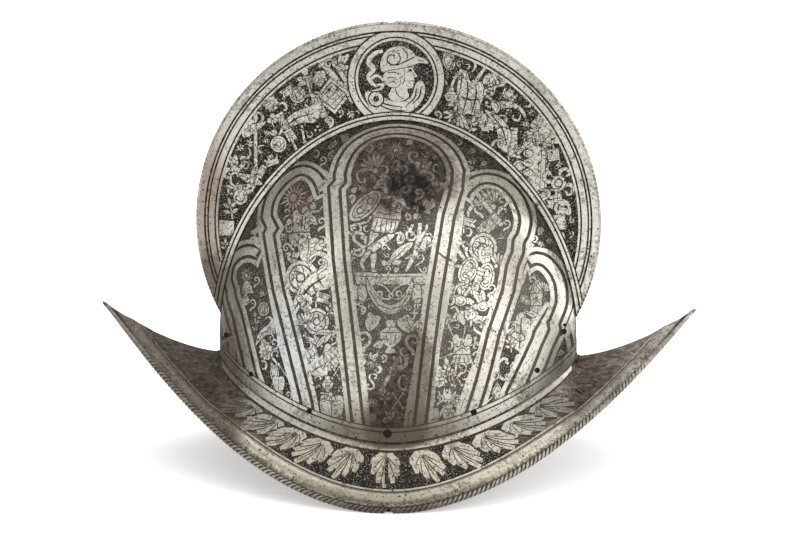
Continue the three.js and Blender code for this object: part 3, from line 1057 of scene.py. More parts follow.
CENTRE = (
    ("sunburst", 0.5, 180.3, 0.44), ("fan", -12.9, 172.6, 0.47, 30), ("curl", 11.1, 175.7, 0.38, 0, 1),
    ("dragon", 17.6, 168.9, 0.44, 0, 1), ("hook", -5.8, 168.7, 0.24), ("helmet", -6.5, 160.6, 0.44, 0, 1),
    ("c_scroll", -18.3, 165.0, 0.29, 20), ("s_scroll", 8.3, 160.7, 0.38), ("urn", 20.5, 150.0, 0.44, -10),
    ("curl", 14.7, 154.4, 0.32), ("dragon", 24.2, 158.6, 0.32), ("curl", 10.8, 132.8, 0.38, 200),
    ("curl", -21.7, 134.1, 0.41, -40), ("s_scroll", -18.6, 126.3, 0.5, 20), ("hook", 4.1, 129.9, 0.29, 10),
    ("hook", 19.9, 130.1, 0.27), ("leaf", 18.3, 127.2, 0.47, 160), ("curl", 16.2, 117.6, 0.27),
    ("sprig", -22.4, 119.5, 0.27), ("dots", -10.7, 106.6, 0.12), ("c_scroll", -18.5, 95.7, 0.29),
    ("urn", 0.5, 74.5, 0.71), ("point_shield", -10.4, 82.4, 0.41, -20), ("point_shield", 8.9, 81.4, 0.41, 30),
    ("leaf", -17.5, 100.9, 0.47, 10), ("leaf", 16.5, 101.3, 0.47, -10), ("curl", -14.3, 71.5, 0.47, 20),
    ("curl", 12.3, 70.1, 0.47, -20, 1), ("mitre", 13.9, 80.9, 0.41), ("dragon", -10.3, 59.6, 0.47, 0, 1),
    ("dragon", 5.1, 58.2, 0.44), ("hook", 12.2, 86.0, 0.18), ("bar", -1.2, 50.7, 0.8, -28),
    ("s_scroll", -10.3, 48.8, 0.35), ("c_scroll", 7.9, 48.4, 0.32), ("sprig", -2.9, 40.3, 0.35),
    ("crossed", 4.5, 38.1, 0.35), ("crown", -10.3, 36.7, 0.27), ("curl", 11.3, 36.5, 0.29),
    ("tile", -10.3, 28.1, 0.24), ("dragon", -0.6, 28.9, 0.27), ("dots", 6.8, 28.9, 0.15),
    ("hook", -16.1, 89.1, 0.21), ("dots", 16.6, 91.1, 0.18), ("dots", -13.1, 63.0, 0.12),
)
LEFT2 = (
    ("sunburst", -58.4, 152.7, 0.74), ("horn", -46.4, 146.5, 0.41, 150), ("curl", -62.1, 143.4, 0.24),
    ("cuirass", -52.5, 136.1, 0.71), ("helmet", -47.2, 139.6, 0.41), ("leaf", -56.4, 128.6, 0.35, 60),
    ("curl", -40.6, 137.3, 0.32), ("curl", -59.9, 124.0, 0.29, 100), ("point_shield", -47.7, 121.8, 0.65),
    ("halberd", -41.2, 121.4, 0.65, -40, 1), ("dragon", -56.0, 117.2, 0.38, 0, 1),
    ("hook", -40.2, 127.7, 0.24), ("round_shield", -52.1, 107.0, 0.74), ("horn", -43.3, 114.6, 0.53, 160, 1),
    ("big_horn", -46.0, 102.0, 1.3, 8), ("curl", -39.8, 113.5, 0.35), ("pennant", -38.2, 94.3, 0.47),
    ("leaf", -49.4, 94.0, 0.38, 80), ("drum", -47.6, 88.9, 0.35, -50), ("round_shield", -42.2, 82.2, 0.59),
    ("sprig", -34.0, 89.2, 0.35, -40), ("fan", -49.9, 83.1, 0.35, 20), ("big_horn", -36.8, 76.1, 0.44, -40),
    ("crescent", -41.5, 75.4, 0.71), ("mitre", -40.3, 70.9, 0.35), ("curl", -32.2, 71.1, 0.24),
    ("banner", -44.5, 62.8, 0.47, 30), ("point_shield", -34.5, 64.2, 0.41, -20),
    ("leaf", -39.2, 57.2, 0.65, -60), ("banner", -32.1, 62.0, 0.44, 40), ("hook", -46.8, 68.4, 0.18),
    ("urn", -35.7, 46.4, 0.38), ("crown", -35.8, 39.4, 0.29, 180), ("crossed", -31.0, 53.4, 0.27),
    ("point_shield", -33.4, 32.0, 0.71), ("trefoil", -34.0, 38.9, 0.27), ("hook", -38.7, 39.4, 0.21),
    ("dots", -28.1, 43.7, 0.15), ("sprig", -28.2, 26.4, 0.24, 20), ("hook", -36.4, 26.2, 0.18),
    ("dots", -48.6, 74.7, 0.15),
)
RIGHT2 = (
    ("fan", 54.8, 153.9, 0.53, 20), ("curl", 61.7, 150.5, 0.35), ("curl", 48.8, 146.4, 0.35, 0, 1),
    ("c_scroll", 62.4, 143.6, 0.32), ("horn", 45.4, 145.8, 0.41, 30), ("bar", 54.4, 147.0, 0.88, 40),
    ("pennant", 43.9, 138.3, 0.38), ("banner", 56.8, 140.1, 0.38, -40), ("tile", 51.8, 135.5, 0.32, -40),
    ("curl", 64.2, 137.9, 0.27), ("hook", 42.8, 133.7, 0.21), ("round_shield", 51.4, 125.2, 0.65),
    ("point_shield", 52.6, 120.7, 0.41), ("spear", 39.6, 127.4, 1, 25), ("s_scroll", 39.2, 121.2, 0.53),
    ("oval_shield", 43.2, 112.1, 0.62, -25), ("oval_shield", 53.4, 108.8, 0.59, -8),
    ("barrel", 48.4, 105.9, 0.59, -20), ("fan", 60.6, 117.9, 0.35, -30), ("dragon", 40.1, 96.9, 0.65, 0, 1),
    ("dragon", 50.8, 93.5, 0.59), ("horn", 39.5, 102.5, 0.35), ("curl", 56.3, 100.9, 0.29),
    ("dolphin", 37.4, 85.0, 0.56, 10), ("dolphin", 47.5, 86.1, 0.53, 160), ("hook", 33.4, 95.1, 0.24),
    ("s_scroll", 49.3, 77.1, 0.44, 20), ("spear", 34.7, 75.9, 0.53, 20), ("bar", 41.4, 76.5, 0.32, -10),
    ("cuirass", 40.4, 67.4, 0.65), ("hook", 33.1, 69.7, 0.21), ("curl", 48.2, 67.3, 0.27),
    ("spear", 49.3, 71.3, 0.41, -70), ("spear", 30.9, 63.4, 0.41, -70), ("bar", 37.1, 58.2, 0.47, -10),
    ("spear", 33.7, 54.8, 0.71, 20), ("leaf", 27.6, 52.0, 0.47), ("sprig", 32.0, 54.2, 0.38, 20),
    ("crossed", 37.7, 51.3, 0.35), ("curl", 40.4, 55.9, 0.32), ("hook", 42.7, 47.3, 0.29),
    ("crown", 32.1, 41.0, 0.44), ("round_shield", 37.7, 38.1, 0.27), ("curl", 28.2, 38.7, 0.24),
    ("bar", 28.2, 30.1, 0.65, -35), ("urn", 33.3, 30.2, 0.44), ("tile", 24.8, 30.7, 0.27, 10),
    ("dots", 36.6, 28.9, 0.18), ("sprig", 23.7, 38.8, 0.24), ("dots", 44.9, 55.4, 0.12),
)
LEFT3 = (
    ("sunburst", -86.0, 107.8, 0.38), ("helmet", -84.4, 99.8, 0.38), ("curl", -79.3, 104.0, 0.27),
    ("round_shield", -74.4, 88.6, 0.32), ("curl", -81.5, 90.7, 0.29), ("leaf", -86.2, 94.0, 0.29),
    ("big_horn", -73.7, 75.4, 0.65), ("s_scroll", -68.7, 73.9, 0.24), ("curl", -67.4, 67.6, 0.35),
    ("leaf", -73.1, 65.6, 0.5, 20), ("s_scroll", -67.5, 59.5, 0.41, 10), ("oval_shield", -67.5, 51.9, 0.38),
    ("spear", -62.6, 53.9, 0.47, 40), ("point_shield", -65.1, 45.1, 0.44), ("hook", -74.4, 56.2, 0.24),
    ("tile", -64.6, 38.8, 0.27, 10), ("curl", -59.1, 38.5, 0.27), ("sprig", -59.7, 33.2, 0.24),
    ("dots", -68.9, 44.3, 0.15),
)
RIGHT3 = (
    ("curl", 79.4, 105.2, 0.32), ("oval_shield", 82.3, 101.8, 0.41), ("fan", 85.7, 102.9, 0.27, -20),
    ("cuirass", 81.8, 94.4, 0.5), ("oval_shield", 75.6, 95.6, 0.29, 60), ("big_horn", 80.2, 87.0, 0.47, -60),
    ("leaf", 72.9, 77.4, 0.88, -4), ("point_shield", 78.6, 78.4, 0.59), ("c_scroll", 83.8, 70.1, 0.29),
    ("curl", 68.9, 79.1, 0.24), ("sprig", 67.3, 70.5, 0.38, 10), ("curl", 75.9, 66.9, 0.29),
    ("c_scroll", 64.1, 56.2, 0.47), ("s_scroll", 69.7, 53.2, 0.53), ("leaf", 72.5, 57.2, 0.59, 10),
    ("diamond", 60.2, 43.0, 0.44), ("ball", 67.0, 41.1, 0.27), ("curl", 59.6, 51.7, 0.21),
    ("hook", 63.6, 36.6, 0.18), ("bar", 55.7, 38.4, 0.29, -50), ("dots", 55.2, 33.3, 0.18),
    ("dots", 75.5, 47.7, 0.15),
)
RIGHT4 = (
    ("curl", 93.6, 72.7, 0.29), ("sprig", 89.7, 60.0, 0.27), ("hook", 86.3, 54.3, 0.18),
)

# ---------------------------------------------------------------- laying the drawing on the steel


@dataclass
class ReliefSkin:
    """One face of the shell with its drawing: the ground etched down, the bright parts standing proud.

    Args:
        name: the piece's name.
        surface: the surface that carries the drawing.
        outline: the face's limit in the drawing plane.
        sketch: the drawing, empty for a plain face.
        holes: centres (x, w) and radii of the rivet holes.
        steiner: further points that keep the triangles small.
        depth: how deep the ground is etched.
    """

    name: str
    surface: BowlSurface | BrimSurface
    outline: Array
    sketch: Sketch
    holes: tuple[tuple[float, float, float], ...]
    steiner: Array
    depth: float = ETCH_DEPTH

    def triangles(self) -> tuple[Array, Array, Array]:
        """Gives the map's points, its triangles inside the face, and each one's tone.

        Returns:
            The points, the triangles and the tones.
        """
        loops = [self.outline] + [oval(*hole, n=HOLE_POINTS) for hole in self.holes]
        loops += [outline for _, outline in self.sketch.shapes]
        points, edges, start = [], [], 0
        for loop in loops:
            n = len(loop)
            points.append(loop)
            edges += [(start + i, start + (i + 1) % n) for i in range(n)]
            start += n
        points.append(self.steiner)
        everything = np.vstack(points)
        verts, _, faces, *_ = delaunay_2d_cdt([Vector(p) for p in everything], edges, [], 0,
                                              JOIN_TOLERANCE, False)
        verts, faces = np.array(verts), np.array(faces)
        a, b, c = (verts[faces[:, i]] for i in range(3))
        area = (b[:, 0] - a[:, 0]) * (c[:, 1] - a[:, 1]) - (c[:, 0] - a[:, 0]) * (b[:, 1] - a[:, 1])
        faces[area < 0] = faces[area < 0][:, ::-1]
        middle = (a + b + c) / 3
        keep = inside(self.outline, middle) & (np.abs(area) > 1e-6)
        for hole in self.holes:
            keep &= ~inside(oval(*hole, n=HOLE_POINTS), middle)
        faces, middle = faces[keep], middle[keep]
        tones = np.zeros(len(faces), int)
        for tone, outline in self.sketch.shapes:
            tones[inside(outline, middle)] = tone.value
        return verts, faces, tones

    def build(self, side: Side, finishes: "dict[Tone, Finish]") -> list[bpy.types.Object]:
        """Builds the ground, the bands and the figures on one side.

        Args:
            side: which side of the helmet.
            finishes: the finish of each tone; a plain face has only the ground's.
        Returns:
            The finished pieces.
        """
        verts, faces, tones = self.triangles()
        natural = self.surface.locate(verts)
        points, normals = self.surface.place(natural)
        made = []
        plain = not self.sketch.shapes
        low = points if plain else points - normals * self.depth
        for tone, finish in finishes.items():
            chosen = faces[tones == tone.value]
            if len(chosen):
                name = f"{self.name}_{tone.name.lower()}"
                made.append(self.mesh(name, low, chosen, side, finish, tone in (Tone.BAND, Tone.FIGURE)))
        LOG.info("%s: %d triangles, %d standing", self.name, len(faces), int((tones > 0).sum()))
        return made

    def mesh(self, name: str, points: Array, faces: Array, side: Side, finish: "Finish",
             raise_up: bool) -> bpy.types.Object:
        """Builds one mesh; raise_up lifts its faces by the etching depth and adds their walls.

        Args:
            name: the piece's name.
            points: the map's points on the steel.
            faces: the triangles to use.
            side: the helmet's side.
            finish: the piece's finish.
            raise_up: whether the faces stand proud of the ground.
        Returns:
            The finished piece.
        """
        used, index = np.unique(faces, return_inverse=True)
        index = index.reshape(faces.shape)
        flip = (side is Side.FAR) != (self.surface.outward < 0)
        sign = np.array([1, -side.value, 1])
        mesh = bpy.data.meshes.new(name)
        mesh.from_pydata((points[used] * sign * MM).tolist(), [],
                         (index[:, ::-1] if flip else index).tolist())
        walls = set()
        if raise_up:
            bm = bmesh.new()
            bm.from_mesh(mesh)
            old = list(bm.faces)
            made = bmesh.ops.extrude_face_region(bm, geom=old)["geom"]
            tops = {g for g in made if isinstance(g, bmesh.types.BMFace)}
            lifted = [g for g in made if isinstance(g, bmesh.types.BMVert)]
            here = np.array([v.co for v in lifted]) / MM * sign
            _, normals = self.surface.place(self.surface.natural(here))
            for v, n in zip(lifted, normals * self.depth * MM * sign):
                v.co += Vector(n)
            bmesh.ops.delete(bm, geom=[f for f in old if f.is_valid and f not in tops], context="FACES_ONLY")
            bm.faces.index_update()
            walls = {f.index for f in bm.faces if f not in tops}
            bm.to_mesh(mesh)
            bm.free()
        return self.finish_mesh(mesh, name, sign, walls, finish)

    def finish_mesh(self, mesh: bpy.types.Mesh, name: str, sign: Array, walls: set[int],
                    finish: "Finish") -> bpy.types.Object:
        """Gives the mesh the surface's own normals, its finish and its place in the frame.

        Args:
            mesh: the mesh.
            name: the piece's name.
            sign: the factors that mirror a point to its side.
            walls: the faces that keep flat normals.
            finish: the piece's finish.
        Returns:
            The finished piece.
        """
        count = len(mesh.vertices)
        co = np.empty(count * 3)
        mesh.vertices.foreach_get("co", co)
        co = co.reshape(-1, 3) / MM * sign
        _, normals = self.surface.place(self.surface.natural(co))
        normals = normals * sign
        loops = np.empty(len(mesh.loops), int)
        mesh.loops.foreach_get("vertex_index", loops)
        chosen = normals[loops]
        if walls:
            flat = np.empty(len(mesh.polygons) * 3)
            mesh.polygons.foreach_get("normal", flat)
            flat = flat.reshape(-1, 3)
            starts, totals = np.empty(len(mesh.polygons), int), np.empty(len(mesh.polygons), int)
            mesh.polygons.foreach_get("loop_start", starts)
            mesh.polygons.foreach_get("loop_total", totals)
            for i in walls:
                chosen[starts[i] : starts[i] + totals[i]] = flat[i]
        mesh.polygons.foreach_set("use_smooth", np.ones(len(mesh.polygons), bool))
        mesh.normals_split_custom_set(chosen.tolist())
        return place_piece(mesh, name, finish)


def place_piece(mesh: bpy.types.Mesh, name: str, finish: "Finish") -> bpy.types.Object:
    """Links a mesh as a finished piece that rides on the frame.

    Args:
        mesh: the piece's mesh.
        name: its name.
        finish: its finish.
    Returns:
        The piece.
    """
    piece = bpy.data.objects.new(name, mesh)
    bpy.context.scene.collection.objects.link(piece)
    mesh.materials.append(finish.material())
    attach(piece, "root")
    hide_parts("helmet_shell")
    LOG.info("%s: %d faces", name, len(mesh.polygons))
    return piece


def grid_piece(name: str, rings: Array, finish: "Finish", closed: bool, caps: bool = False,
               cut: Array | None = None) -> bpy.types.Object:
    """Builds a smooth piece from a grid of points (rows, columns, 3) in millimetres.

    Args:
        name: the piece's name.
        rings: the grid.
        finish: the piece's finish.
        closed: whether the columns close into rings.
        caps: whether the first and last rows are closed.
        cut: a value at each point.
    Returns:
        The finished piece.
    """
    rows, cols = rings.shape[:2]
    bm = bmesh.new()
    verts = [[bm.verts.new(Vector(p * MM)) for p in row] for row in rings]
    last = cols if closed else cols - 1
    for i in range(rows - 1):
        for j in range(last):
            k = (j + 1) % cols
            bm.faces.new((verts[i][j], verts[i][k], verts[i + 1][k], verts[i + 1][j]))
    if caps:
        bm.faces.new(verts[0][::-1])
        bm.faces.new(verts[-1])
    bmesh.ops.recalc_face_normals(bm, faces=bm.faces)
    for f in bm.faces:
        f.smooth = True
    mesh = bpy.data.meshes.new(name)
    bm.to_mesh(mesh)
    bm.free()
    if cut is not None:
        mesh.attributes.new(CUT, "FLOAT", "POINT").data.foreach_set("value", cut.ravel())
    return place_piece(mesh, name, finish)


# ---------------------------------------------------------------- the bowl: skull and comb

PANEL_TIERS = ((0.0, 2.4, True), (2.4, 4.3, False), (4.3, 8.9, True), (8.9, 10.8, False), (10.8, 13.1, True))


@dataclass(frozen=True)
class Panel:
    """One arched panel of the skull; its opening runs up the left leg, over the arch and down the right leg.

    Args:
        left: the left leg, bottom to top, in the drawing plane.
        arch: points of the arch, left to right.
        right: the right leg, top to bottom.
        flat: how much the bands thin over the crown.
    """

    left: tuple[tuple[float, float], ...]
    arch: tuple[tuple[float, float], ...]
    right: tuple[tuple[float, float], ...]
    flat: float = 1.0

    def path(self) -> Array:
        """Returns the opening as one path."""
        return np.vstack([self.left, smooth_curve(self.arch, 4), self.right])

    def bands(self, sketch: Sketch) -> None:
        """Adds the bands round the panel's opening.

        Args:
            sketch: the drawing they are added to.
        """
        path = self.path()
        out = side_vectors(path)
        out[:, 1] *= self.flat
        sketch.tiers(lambda offset: path + out * offset, PANEL_TIERS)


PANELS = (
    Panel(
        left=((-73.5, 28), (-82.9, 43.4), (-89.0, 51.2), (-92.8, 61.3), (-96.1, 71.4)),
        arch=((-98.6, 79.6), (-99.6, 82.6), (-101, 80.6)),
        right=((-102.1, 73.0), (-101.8, 63.6), (-100, 40)),
    ),
    Panel(
        left=((-67, 28), (-70.8, 39.0), (-76.1, 52.1), (-81.1, 71.6), (-85.4, 87.0), (-89.7, 96.7),
              (-90.5, 100.7)),
        arch=((-93.1, 106.3), (-92.5, 111.0), (-89.1, 114.3), (-85.1, 115.4), (-81.0, 114.1)),
        right=((-78.7, 112.4), (-75.9, 119.6), (-72.2, 100.2), (-66.8, 77.4), (-64.8, 67.2), (-58.1, 44.3),
               (-54.5, 28)),
    ),
    Panel(
        left=((73.7, 28), (75, 40), (83.5, 58.0), (88.9, 70.0), (90.1, 74.0)),
        arch=((93.5, 79.6), (97.0, 78.3), (99.4, 71.1)),
        right=((100.4, 64), (101, 52), (101, 40)),
    ),
    Panel(
        left=((49.4, 27), (50.4, 31.7), (55.9, 47.9), (60.9, 59.9), (65.8, 78.6), (72.9, 101.9),
              (75.5, 107.9), (76.5, 112.7), (77.7, 108.7)),
        arch=((79.2, 111.1), (82.0, 112.7), (84.7, 111.1), (87.5, 107.3), (89.2, 102.7), (89.8, 96.7),
              (89.2, 92.6), (86.6, 86.0)),
        right=((84.8, 83.6), (85.8, 78.8), (82.0, 70.4), (77.9, 59.4), (73.7, 48.7), (70, 32)),
    ),
    Panel(
        left=((-39.3, 20), (-39.9, 26.6), (-42.4, 39.8), (-49.6, 67.8), (-55.2, 88.2), (-58.9, 100.5),
              (-62.5, 116.5), (-65.7, 130.8), (-63.0, 135.2)),
        arch=((-68.2, 143.4), (-67.9, 148.6), (-66.1, 153.3), (-62.6, 158.0), (-58.5, 161.5),
              (-54.2, 163.3), (-50.3, 160.9), (-47.9, 156.8), (-46.4, 152.8)),
        right=((-45.2, 150.8), (-40.5, 153.1), (-40.3, 149.9), (-36.5, 119.5), (-32.8, 91.9), (-29.7, 72.9),
               (-26.6, 50.5), (-24.1, 24.8), (-23.8, 18)),
        flat=0.85,
    ),
    Panel(
        left=((20.6, 18), (21.1, 27.0), (22.8, 36.0), (25.3, 50.8), (29.1, 73.7), (33.1, 96.3),
              (36.5, 119.0), (38.8, 129.5), (39.9, 140.4), (40.3, 152.6), (44.6, 149.6)),
        arch=((46.2, 154.8), (50.1, 158.6), (54.0, 159.4), (58.9, 157.7), (63.9, 152.9), (67.2, 146.3),
              (68.4, 140.8), (67.5, 135.2)),
        right=((64.9, 130.8), (64.4, 123.8), (61.5, 116.1), (59.4, 102.0), (51.6, 78.1), (47.5, 60.0),
               (44.4, 48.0), (38.9, 29.9), (38, 24)),
        flat=0.85,
    ),
    Panel(
        left=((-11.2, 18), (-11.7, 24.6), (-14.6, 50.3), (-17.2, 73.2), (-20.1, 95.7), (-23.3, 118.2),
              (-25.4, 139.8), (-27.3, 157.0), (-24.1, 160.6)),
        arch=((-24.7, 166.2), (-23.1, 173.3), (-19.4, 180.0), (-14.3, 184.3), (-8.0, 187.1), (0.0, 188.3),
              (8.7, 187.5), (16.9, 184.7), (23.4, 180.1), (27.6, 174.3), (29.8, 168.5)),
        right=((29.5, 162.2), (27.2, 160.7), (28.8, 157.6), (25.3, 143.3), (22.9, 126.0), (20.3, 108.6),
               (18.5, 96.3), (15.7, 73.6), (13.2, 50.8), (10.4, 24.9), (10, 18)),
        flat=0.62,
    ),
)


CREST_TIERS = ((-0.7, 0.5, False), (0.5, 2.3, True), (2.3, 3.3, False), (3.3, 4.5, True), (4.5, 5.3, False))
RING_TIERS = ((118.6, 113.9, True), (113.9, 112.8, False), (112.8, 112.0, True), (112.0, 111.0, False),
              (111.0, 107.8, True), (107.8, 106.8, False), (106.8, 105.6, True))
BASE_TIERS = ((-3, 0.5, False), (0.5, 6.0, True), (6.0, 6.9, False), (6.9, 8.7, True), (8.7, 9.4, False))


def trophies(rows: tuple, squash: float = 1.0, grow: float = 1.3) -> Sketch:
    """Gives the ornaments of one table, each set off by a dark line.

    Args:
        rows: the table.
        squash: how much the ornaments narrow.
        grow: their scale.
    Returns:
        The sketch.
    """
    out = Sketch()
    for kind, x, w, size, *rest in rows:
        turn, mirrored = (*rest, 0, 0)[:2]
        motif = getattr(Motif, kind)()
        out.add(motif.placed(x, w, size * grow, turn, bool(mirrored), squash).haloed(EDGE_HALO))
    return out


def densified(outline: Array, step: float = 1.2) -> Array:
    """Gives an outline with points no further apart than step.

    Args:
        outline: the outline.
        step: the longest step.
    Returns:
        The outline's points.
    """
    nxt = np.roll(outline, -1, axis=0)
    count = np.maximum(np.ceil(np.linalg.norm(nxt - outline, axis=1) / step).astype(int), 1)
    return np.vstack([a + (b - a) * (np.arange(n) / n)[:, None] for a, b, n in zip(outline, nxt, count)])


def filler(sketch: Sketch, seed: int, spacing: float, box: tuple[tuple[float, float], ...]) -> Sketch:
    """Gives small hooks, leaves, curls and sprigs strewn where the drawing leaves etched ground bare.

    Args:
        sketch: the drawing so far; the filler only stands on its dark shapes.
        seed: the seed of the strewing.
        spacing: the least distance to anything bright.
        box: the ranges of x and height to fill.
    Returns:
        The sketch of the strewn marks.
    """
    rng = np.random.default_rng(seed)
    spots = np.c_[rng.uniform(*box[0], 14000), rng.uniform(*box[1], 14000)]
    dark = np.zeros(len(spots), bool)
    for tone, outline in sketch.shapes:
        dark[inside(outline, spots)] = tone is Tone.DARK
    marks = np.vstack([densified(o) for tone, o in sketch.shapes if tone is not Tone.DARK])
    spots = spots[dark]
    cell = spacing + 1.2
    near: dict[tuple[int, int], list] = {}
    for p in marks:
        near.setdefault((int(p[0] // cell), int(p[1] // cell)), []).append(p)
    out = Sketch()
    kinds = (Motif.hook, Motif.leaf, Motif.curl, Motif.sprig)
    for p in spots:
        kx, ky = int(p[0] // cell), int(p[1] // cell)
        close = [q for i in (-1, 0, 1) for j in (-1, 0, 1) for q in near.get((kx + i, ky + j), ())]
        if close and ((np.array(close) - p) ** 2).sum(1).min() < spacing**2:
            continue
        placed = kinds[rng.integers(4)]().placed(p[0], p[1], rng.uniform(0.16, 0.3), rng.uniform(0, 360))
        out.add(placed)
        for q in np.vstack([o for _, o in placed.shapes]):
            near.setdefault((int(q[0] // cell), int(q[1] // cell)), []).append(q)
    return out


@dataclass
class BowlDrawing:
    """The drawing on one side of the skull and comb."""

    surface: BowlSurface = field(default_factory=BowlSurface)

    def ring(self, radius: float, n: int = 110) -> Array:
        """Gives a circle about the comb's centre, clipped to start and end at the shoulders.

        Args:
            radius: its radius.
            n: its points.
        Returns:
            The circle's points.
        """
        form = self.surface.form
        t = np.radians(np.linspace(-32, 212, n))
        return self.surface.seen(np.c_[radius * np.cos(t), form.comb_centre_z + radius * np.sin(t)])

    def above_crest(self, offset: float, n: int = 90) -> Array:
        """Gives the skull's crest line moved outward by offset.

        Args:
            offset: how far out.
            n: its points.
        Returns:
            The line's points.
        """
        form = self.surface.form
        t = np.radians(np.linspace(-14, 194, n))
        c, s = np.cos(t), np.sin(t)
        reach = form.crest(c, np.maximum(s, 0)) + offset
        xz = np.c_[reach * c, form.shoulder_z + reach * s]
        return self.surface.seen(xz)

    def above_base(self, offset: float) -> Array:
        """Gives the line of the skull's base moved up the wall by offset.

        Args:
            offset: how far up.
        Returns:
            The line's points.
        """
        form = self.surface.form
        x = form.half_length * np.sin(np.radians(np.linspace(-90, 90, 121)))
        z = form.base_z(x)
        run = np.hypot(np.gradient(x), np.gradient(form.width(x, z)))
        slope = np.gradient(z) / np.maximum(run, 1e-6)
        return self.surface.seen(np.c_[x, z + offset / SEEN_COS * np.sqrt(1 + slope * slope)])

    def outline(self) -> Array:
        """Gives the face's limit: along the base, then round the skull's and comb's outer edge.

        Returns:
            The closed outline.
        """
        form = self.surface.form
        x = form.half_length * np.sin(np.radians(np.linspace(-90, 90, 121)))
        low = np.c_[x, form.base_z(x)]
        front = np.c_[np.full(4, form.half_length), np.linspace(66, 73, 4)]
        t = np.radians(np.linspace(0, 180, 191))
        c, s = np.cos(t), np.sin(t)
        reach = form.edge(c, s)
        top = np.c_[reach * c, form.shoulder_z + reach * s]
        back = np.c_[np.full(4, -form.half_length), np.linspace(73, 66, 4)]
        return self.surface.seen(np.vstack([low, front, top, back]))

    def steiner(self) -> Array:
        """Gives points that follow the curved parts closely.

        Returns:
            The points.
        """
        form = self.surface.form
        out = []
        for offset in (-14, -10, -7.5, -5.5, -4, -3, -2, -1.2, -0.5, 0.4, 1.4, 2.6, 4, 6):
            t = np.radians(np.linspace(0.5, 179.5, 150))
            c, s = np.cos(t), np.sin(t)
            reach = form.crest(c, s) + offset
            keep = reach < form.edge(c, s) - 0.6
            out.append(np.c_[(reach * c)[keep], (form.shoulder_z + reach * s)[keep]])
        for x in np.arange(-116, 117, 4.0):
            z = np.arange(34, 258, 4.5) + (2 if int(x / 4) % 2 else 0)
            up = np.maximum(z - form.shoulder_z, 0)
            r = np.maximum(np.hypot(x, up), 1e-6)
            limit = np.where(up > 0, form.edge(x / r, up / r), form.half_length)
            keep = (np.abs(x) < form.half_length) & (z > form.base_z(np.full_like(z, x)) + 1) | (up > 0)
            keep &= r < limit - 1.5
            out.append(np.c_[np.full(keep.sum(), x), z[keep]])
        for z in np.arange(66, 76, 3.0):
            x = form.half_length - np.array([0.5, 1.2, 2.2, 3.4, 5, 7.5, 10.5])
            out += [np.c_[x, np.full(7, z)], np.c_[-x, np.full(7, z)]]
        return self.surface.seen(np.vstack(out))

    def medallion(self) -> Sketch:
        """Gives the medallion: a helmeted head in profile in a ringed frame, of the etcher's usual kind.

        Returns:
            The sketch, about its own centre.
        """
        s = Sketch()
        for r, tone in ((28.7, s.line), (27.7, s.band), (24.4, s.line), (23.5, s.band), (22.2, s.dark)):
            tone(oval(0, 0, r, n=72))
        bust = Sketch()
        cloak = smooth_curve([(-17, -7), (-10, -8), (-5, -11), (2, -12), (7, -9), (9, -3), (12, -1), (14, -5),
                              (12.5, -11), (8, -16), (0, -19.5), (-9, -18.5), (-15, -14)], 3, closed=True)
        bust.band(cloak)
        bust.lines(smooth_curve([(-13, -10), (-6, -13.4), (2, -14.6)]),
                   smooth_curve([(-11, -13), (-4, -16), (4, -16.6)]),
                   smooth_curve([(9.6, -5), (8.4, -10), (4, -14)]),
                   smooth_curve([(12, -4), (11, -9), (7.4, -13)]), width=0.8)
        bust.line(oval(-11.4, -10.6, 4.4, n=14)).band(oval(-11.4, -10.6, 3.6, n=14)).dark(oval(-11.4, -10.6,
                1.6, n=10))
        neck = smooth_curve([(-3, 1), (-3.4, -5), (-5, -9.6), (0, -12), (5.6, -9.4), (4.6, -6), (5.2, -3)], 3,
                            closed=True)
        face = smooth_curve([(4.6, 7.0), (7.7, 7.2), (8.1, 5.8), (7.7, 4.7), (8.6, 3.1), (9.9, 1.4),
                             (9.4, 0.8), (8.1, 0.6), (8.1, -0.1), (8.8, -0.7), (8.0, -1.2), (8.5, -1.9),
                             (7.6, -2.6), (8.1, -3.7), (7.2, -4.9), (5.2, -5.0), (2.6, -3.4), (0, -0.4),
                             (-1, 4)], 2, closed=True)
        bust.band(neck, face)
        bust.lines(smooth_curve([(5.1, 4.0), (6.2, 4.7), (7.3, 4.1)]), [(5.3, 3.8), (7.1, 3.6)],
                   [(4.9, 5.5), (6.3, 6.1), (7.6, 5.6)], [(8.4, -1.2), (7.4, -1.25), (6.5, -1.05)],
                   smooth_curve([(8.6, 1.2), (8.0, 1.5), (8.1, 2.2)]),
                   smooth_curve([(2.0, -3.1), (3.1, -1.4), (3.3, 0.8)]),
                   smooth_curve([(-1.6, -5), (-0.4, -8), (1.6, -10)]), width=0.6)
        bust.line(oval(6.4, 4.1, 0.55, n=8))
        hair = smooth_curve([(-5, 4.6), (2.6, 5), (3, 1.8), (0.8, 0.6), (1, -2.6), (-1.4, -4.6), (-5.6, -3.6),
                             (-8, 0)], 3, closed=True)
        bust.add(Sketch().band(hair).haloed(0.7))
        bust.lines(smooth_curve([(-5.6, 2.6), (-2.6, 3.2), (0.6, 2.4)]),
                   smooth_curve([(-6, 0), (-3, 0.6), (-0.4, -0.8)]), smooth_curve([(-4.6, -2.4), (-2.4, -1.6),
                   (-0.8, -2.8)]), width=0.6)
        dome = smooth_curve([(-8.6, 3.6), (-9, 9), (-5.6, 14.6), (0.6, 16.6), (6.4, 14.6), (9.2, 11.6),
                             (13.6, 10.2), (15.6, 7.8), (11, 8), (7.6, 6.8), (1, 5.2), (-4, 4.4)], 3,
                            closed=True)
        bust.add(Sketch().band(dome).haloed(0.8))
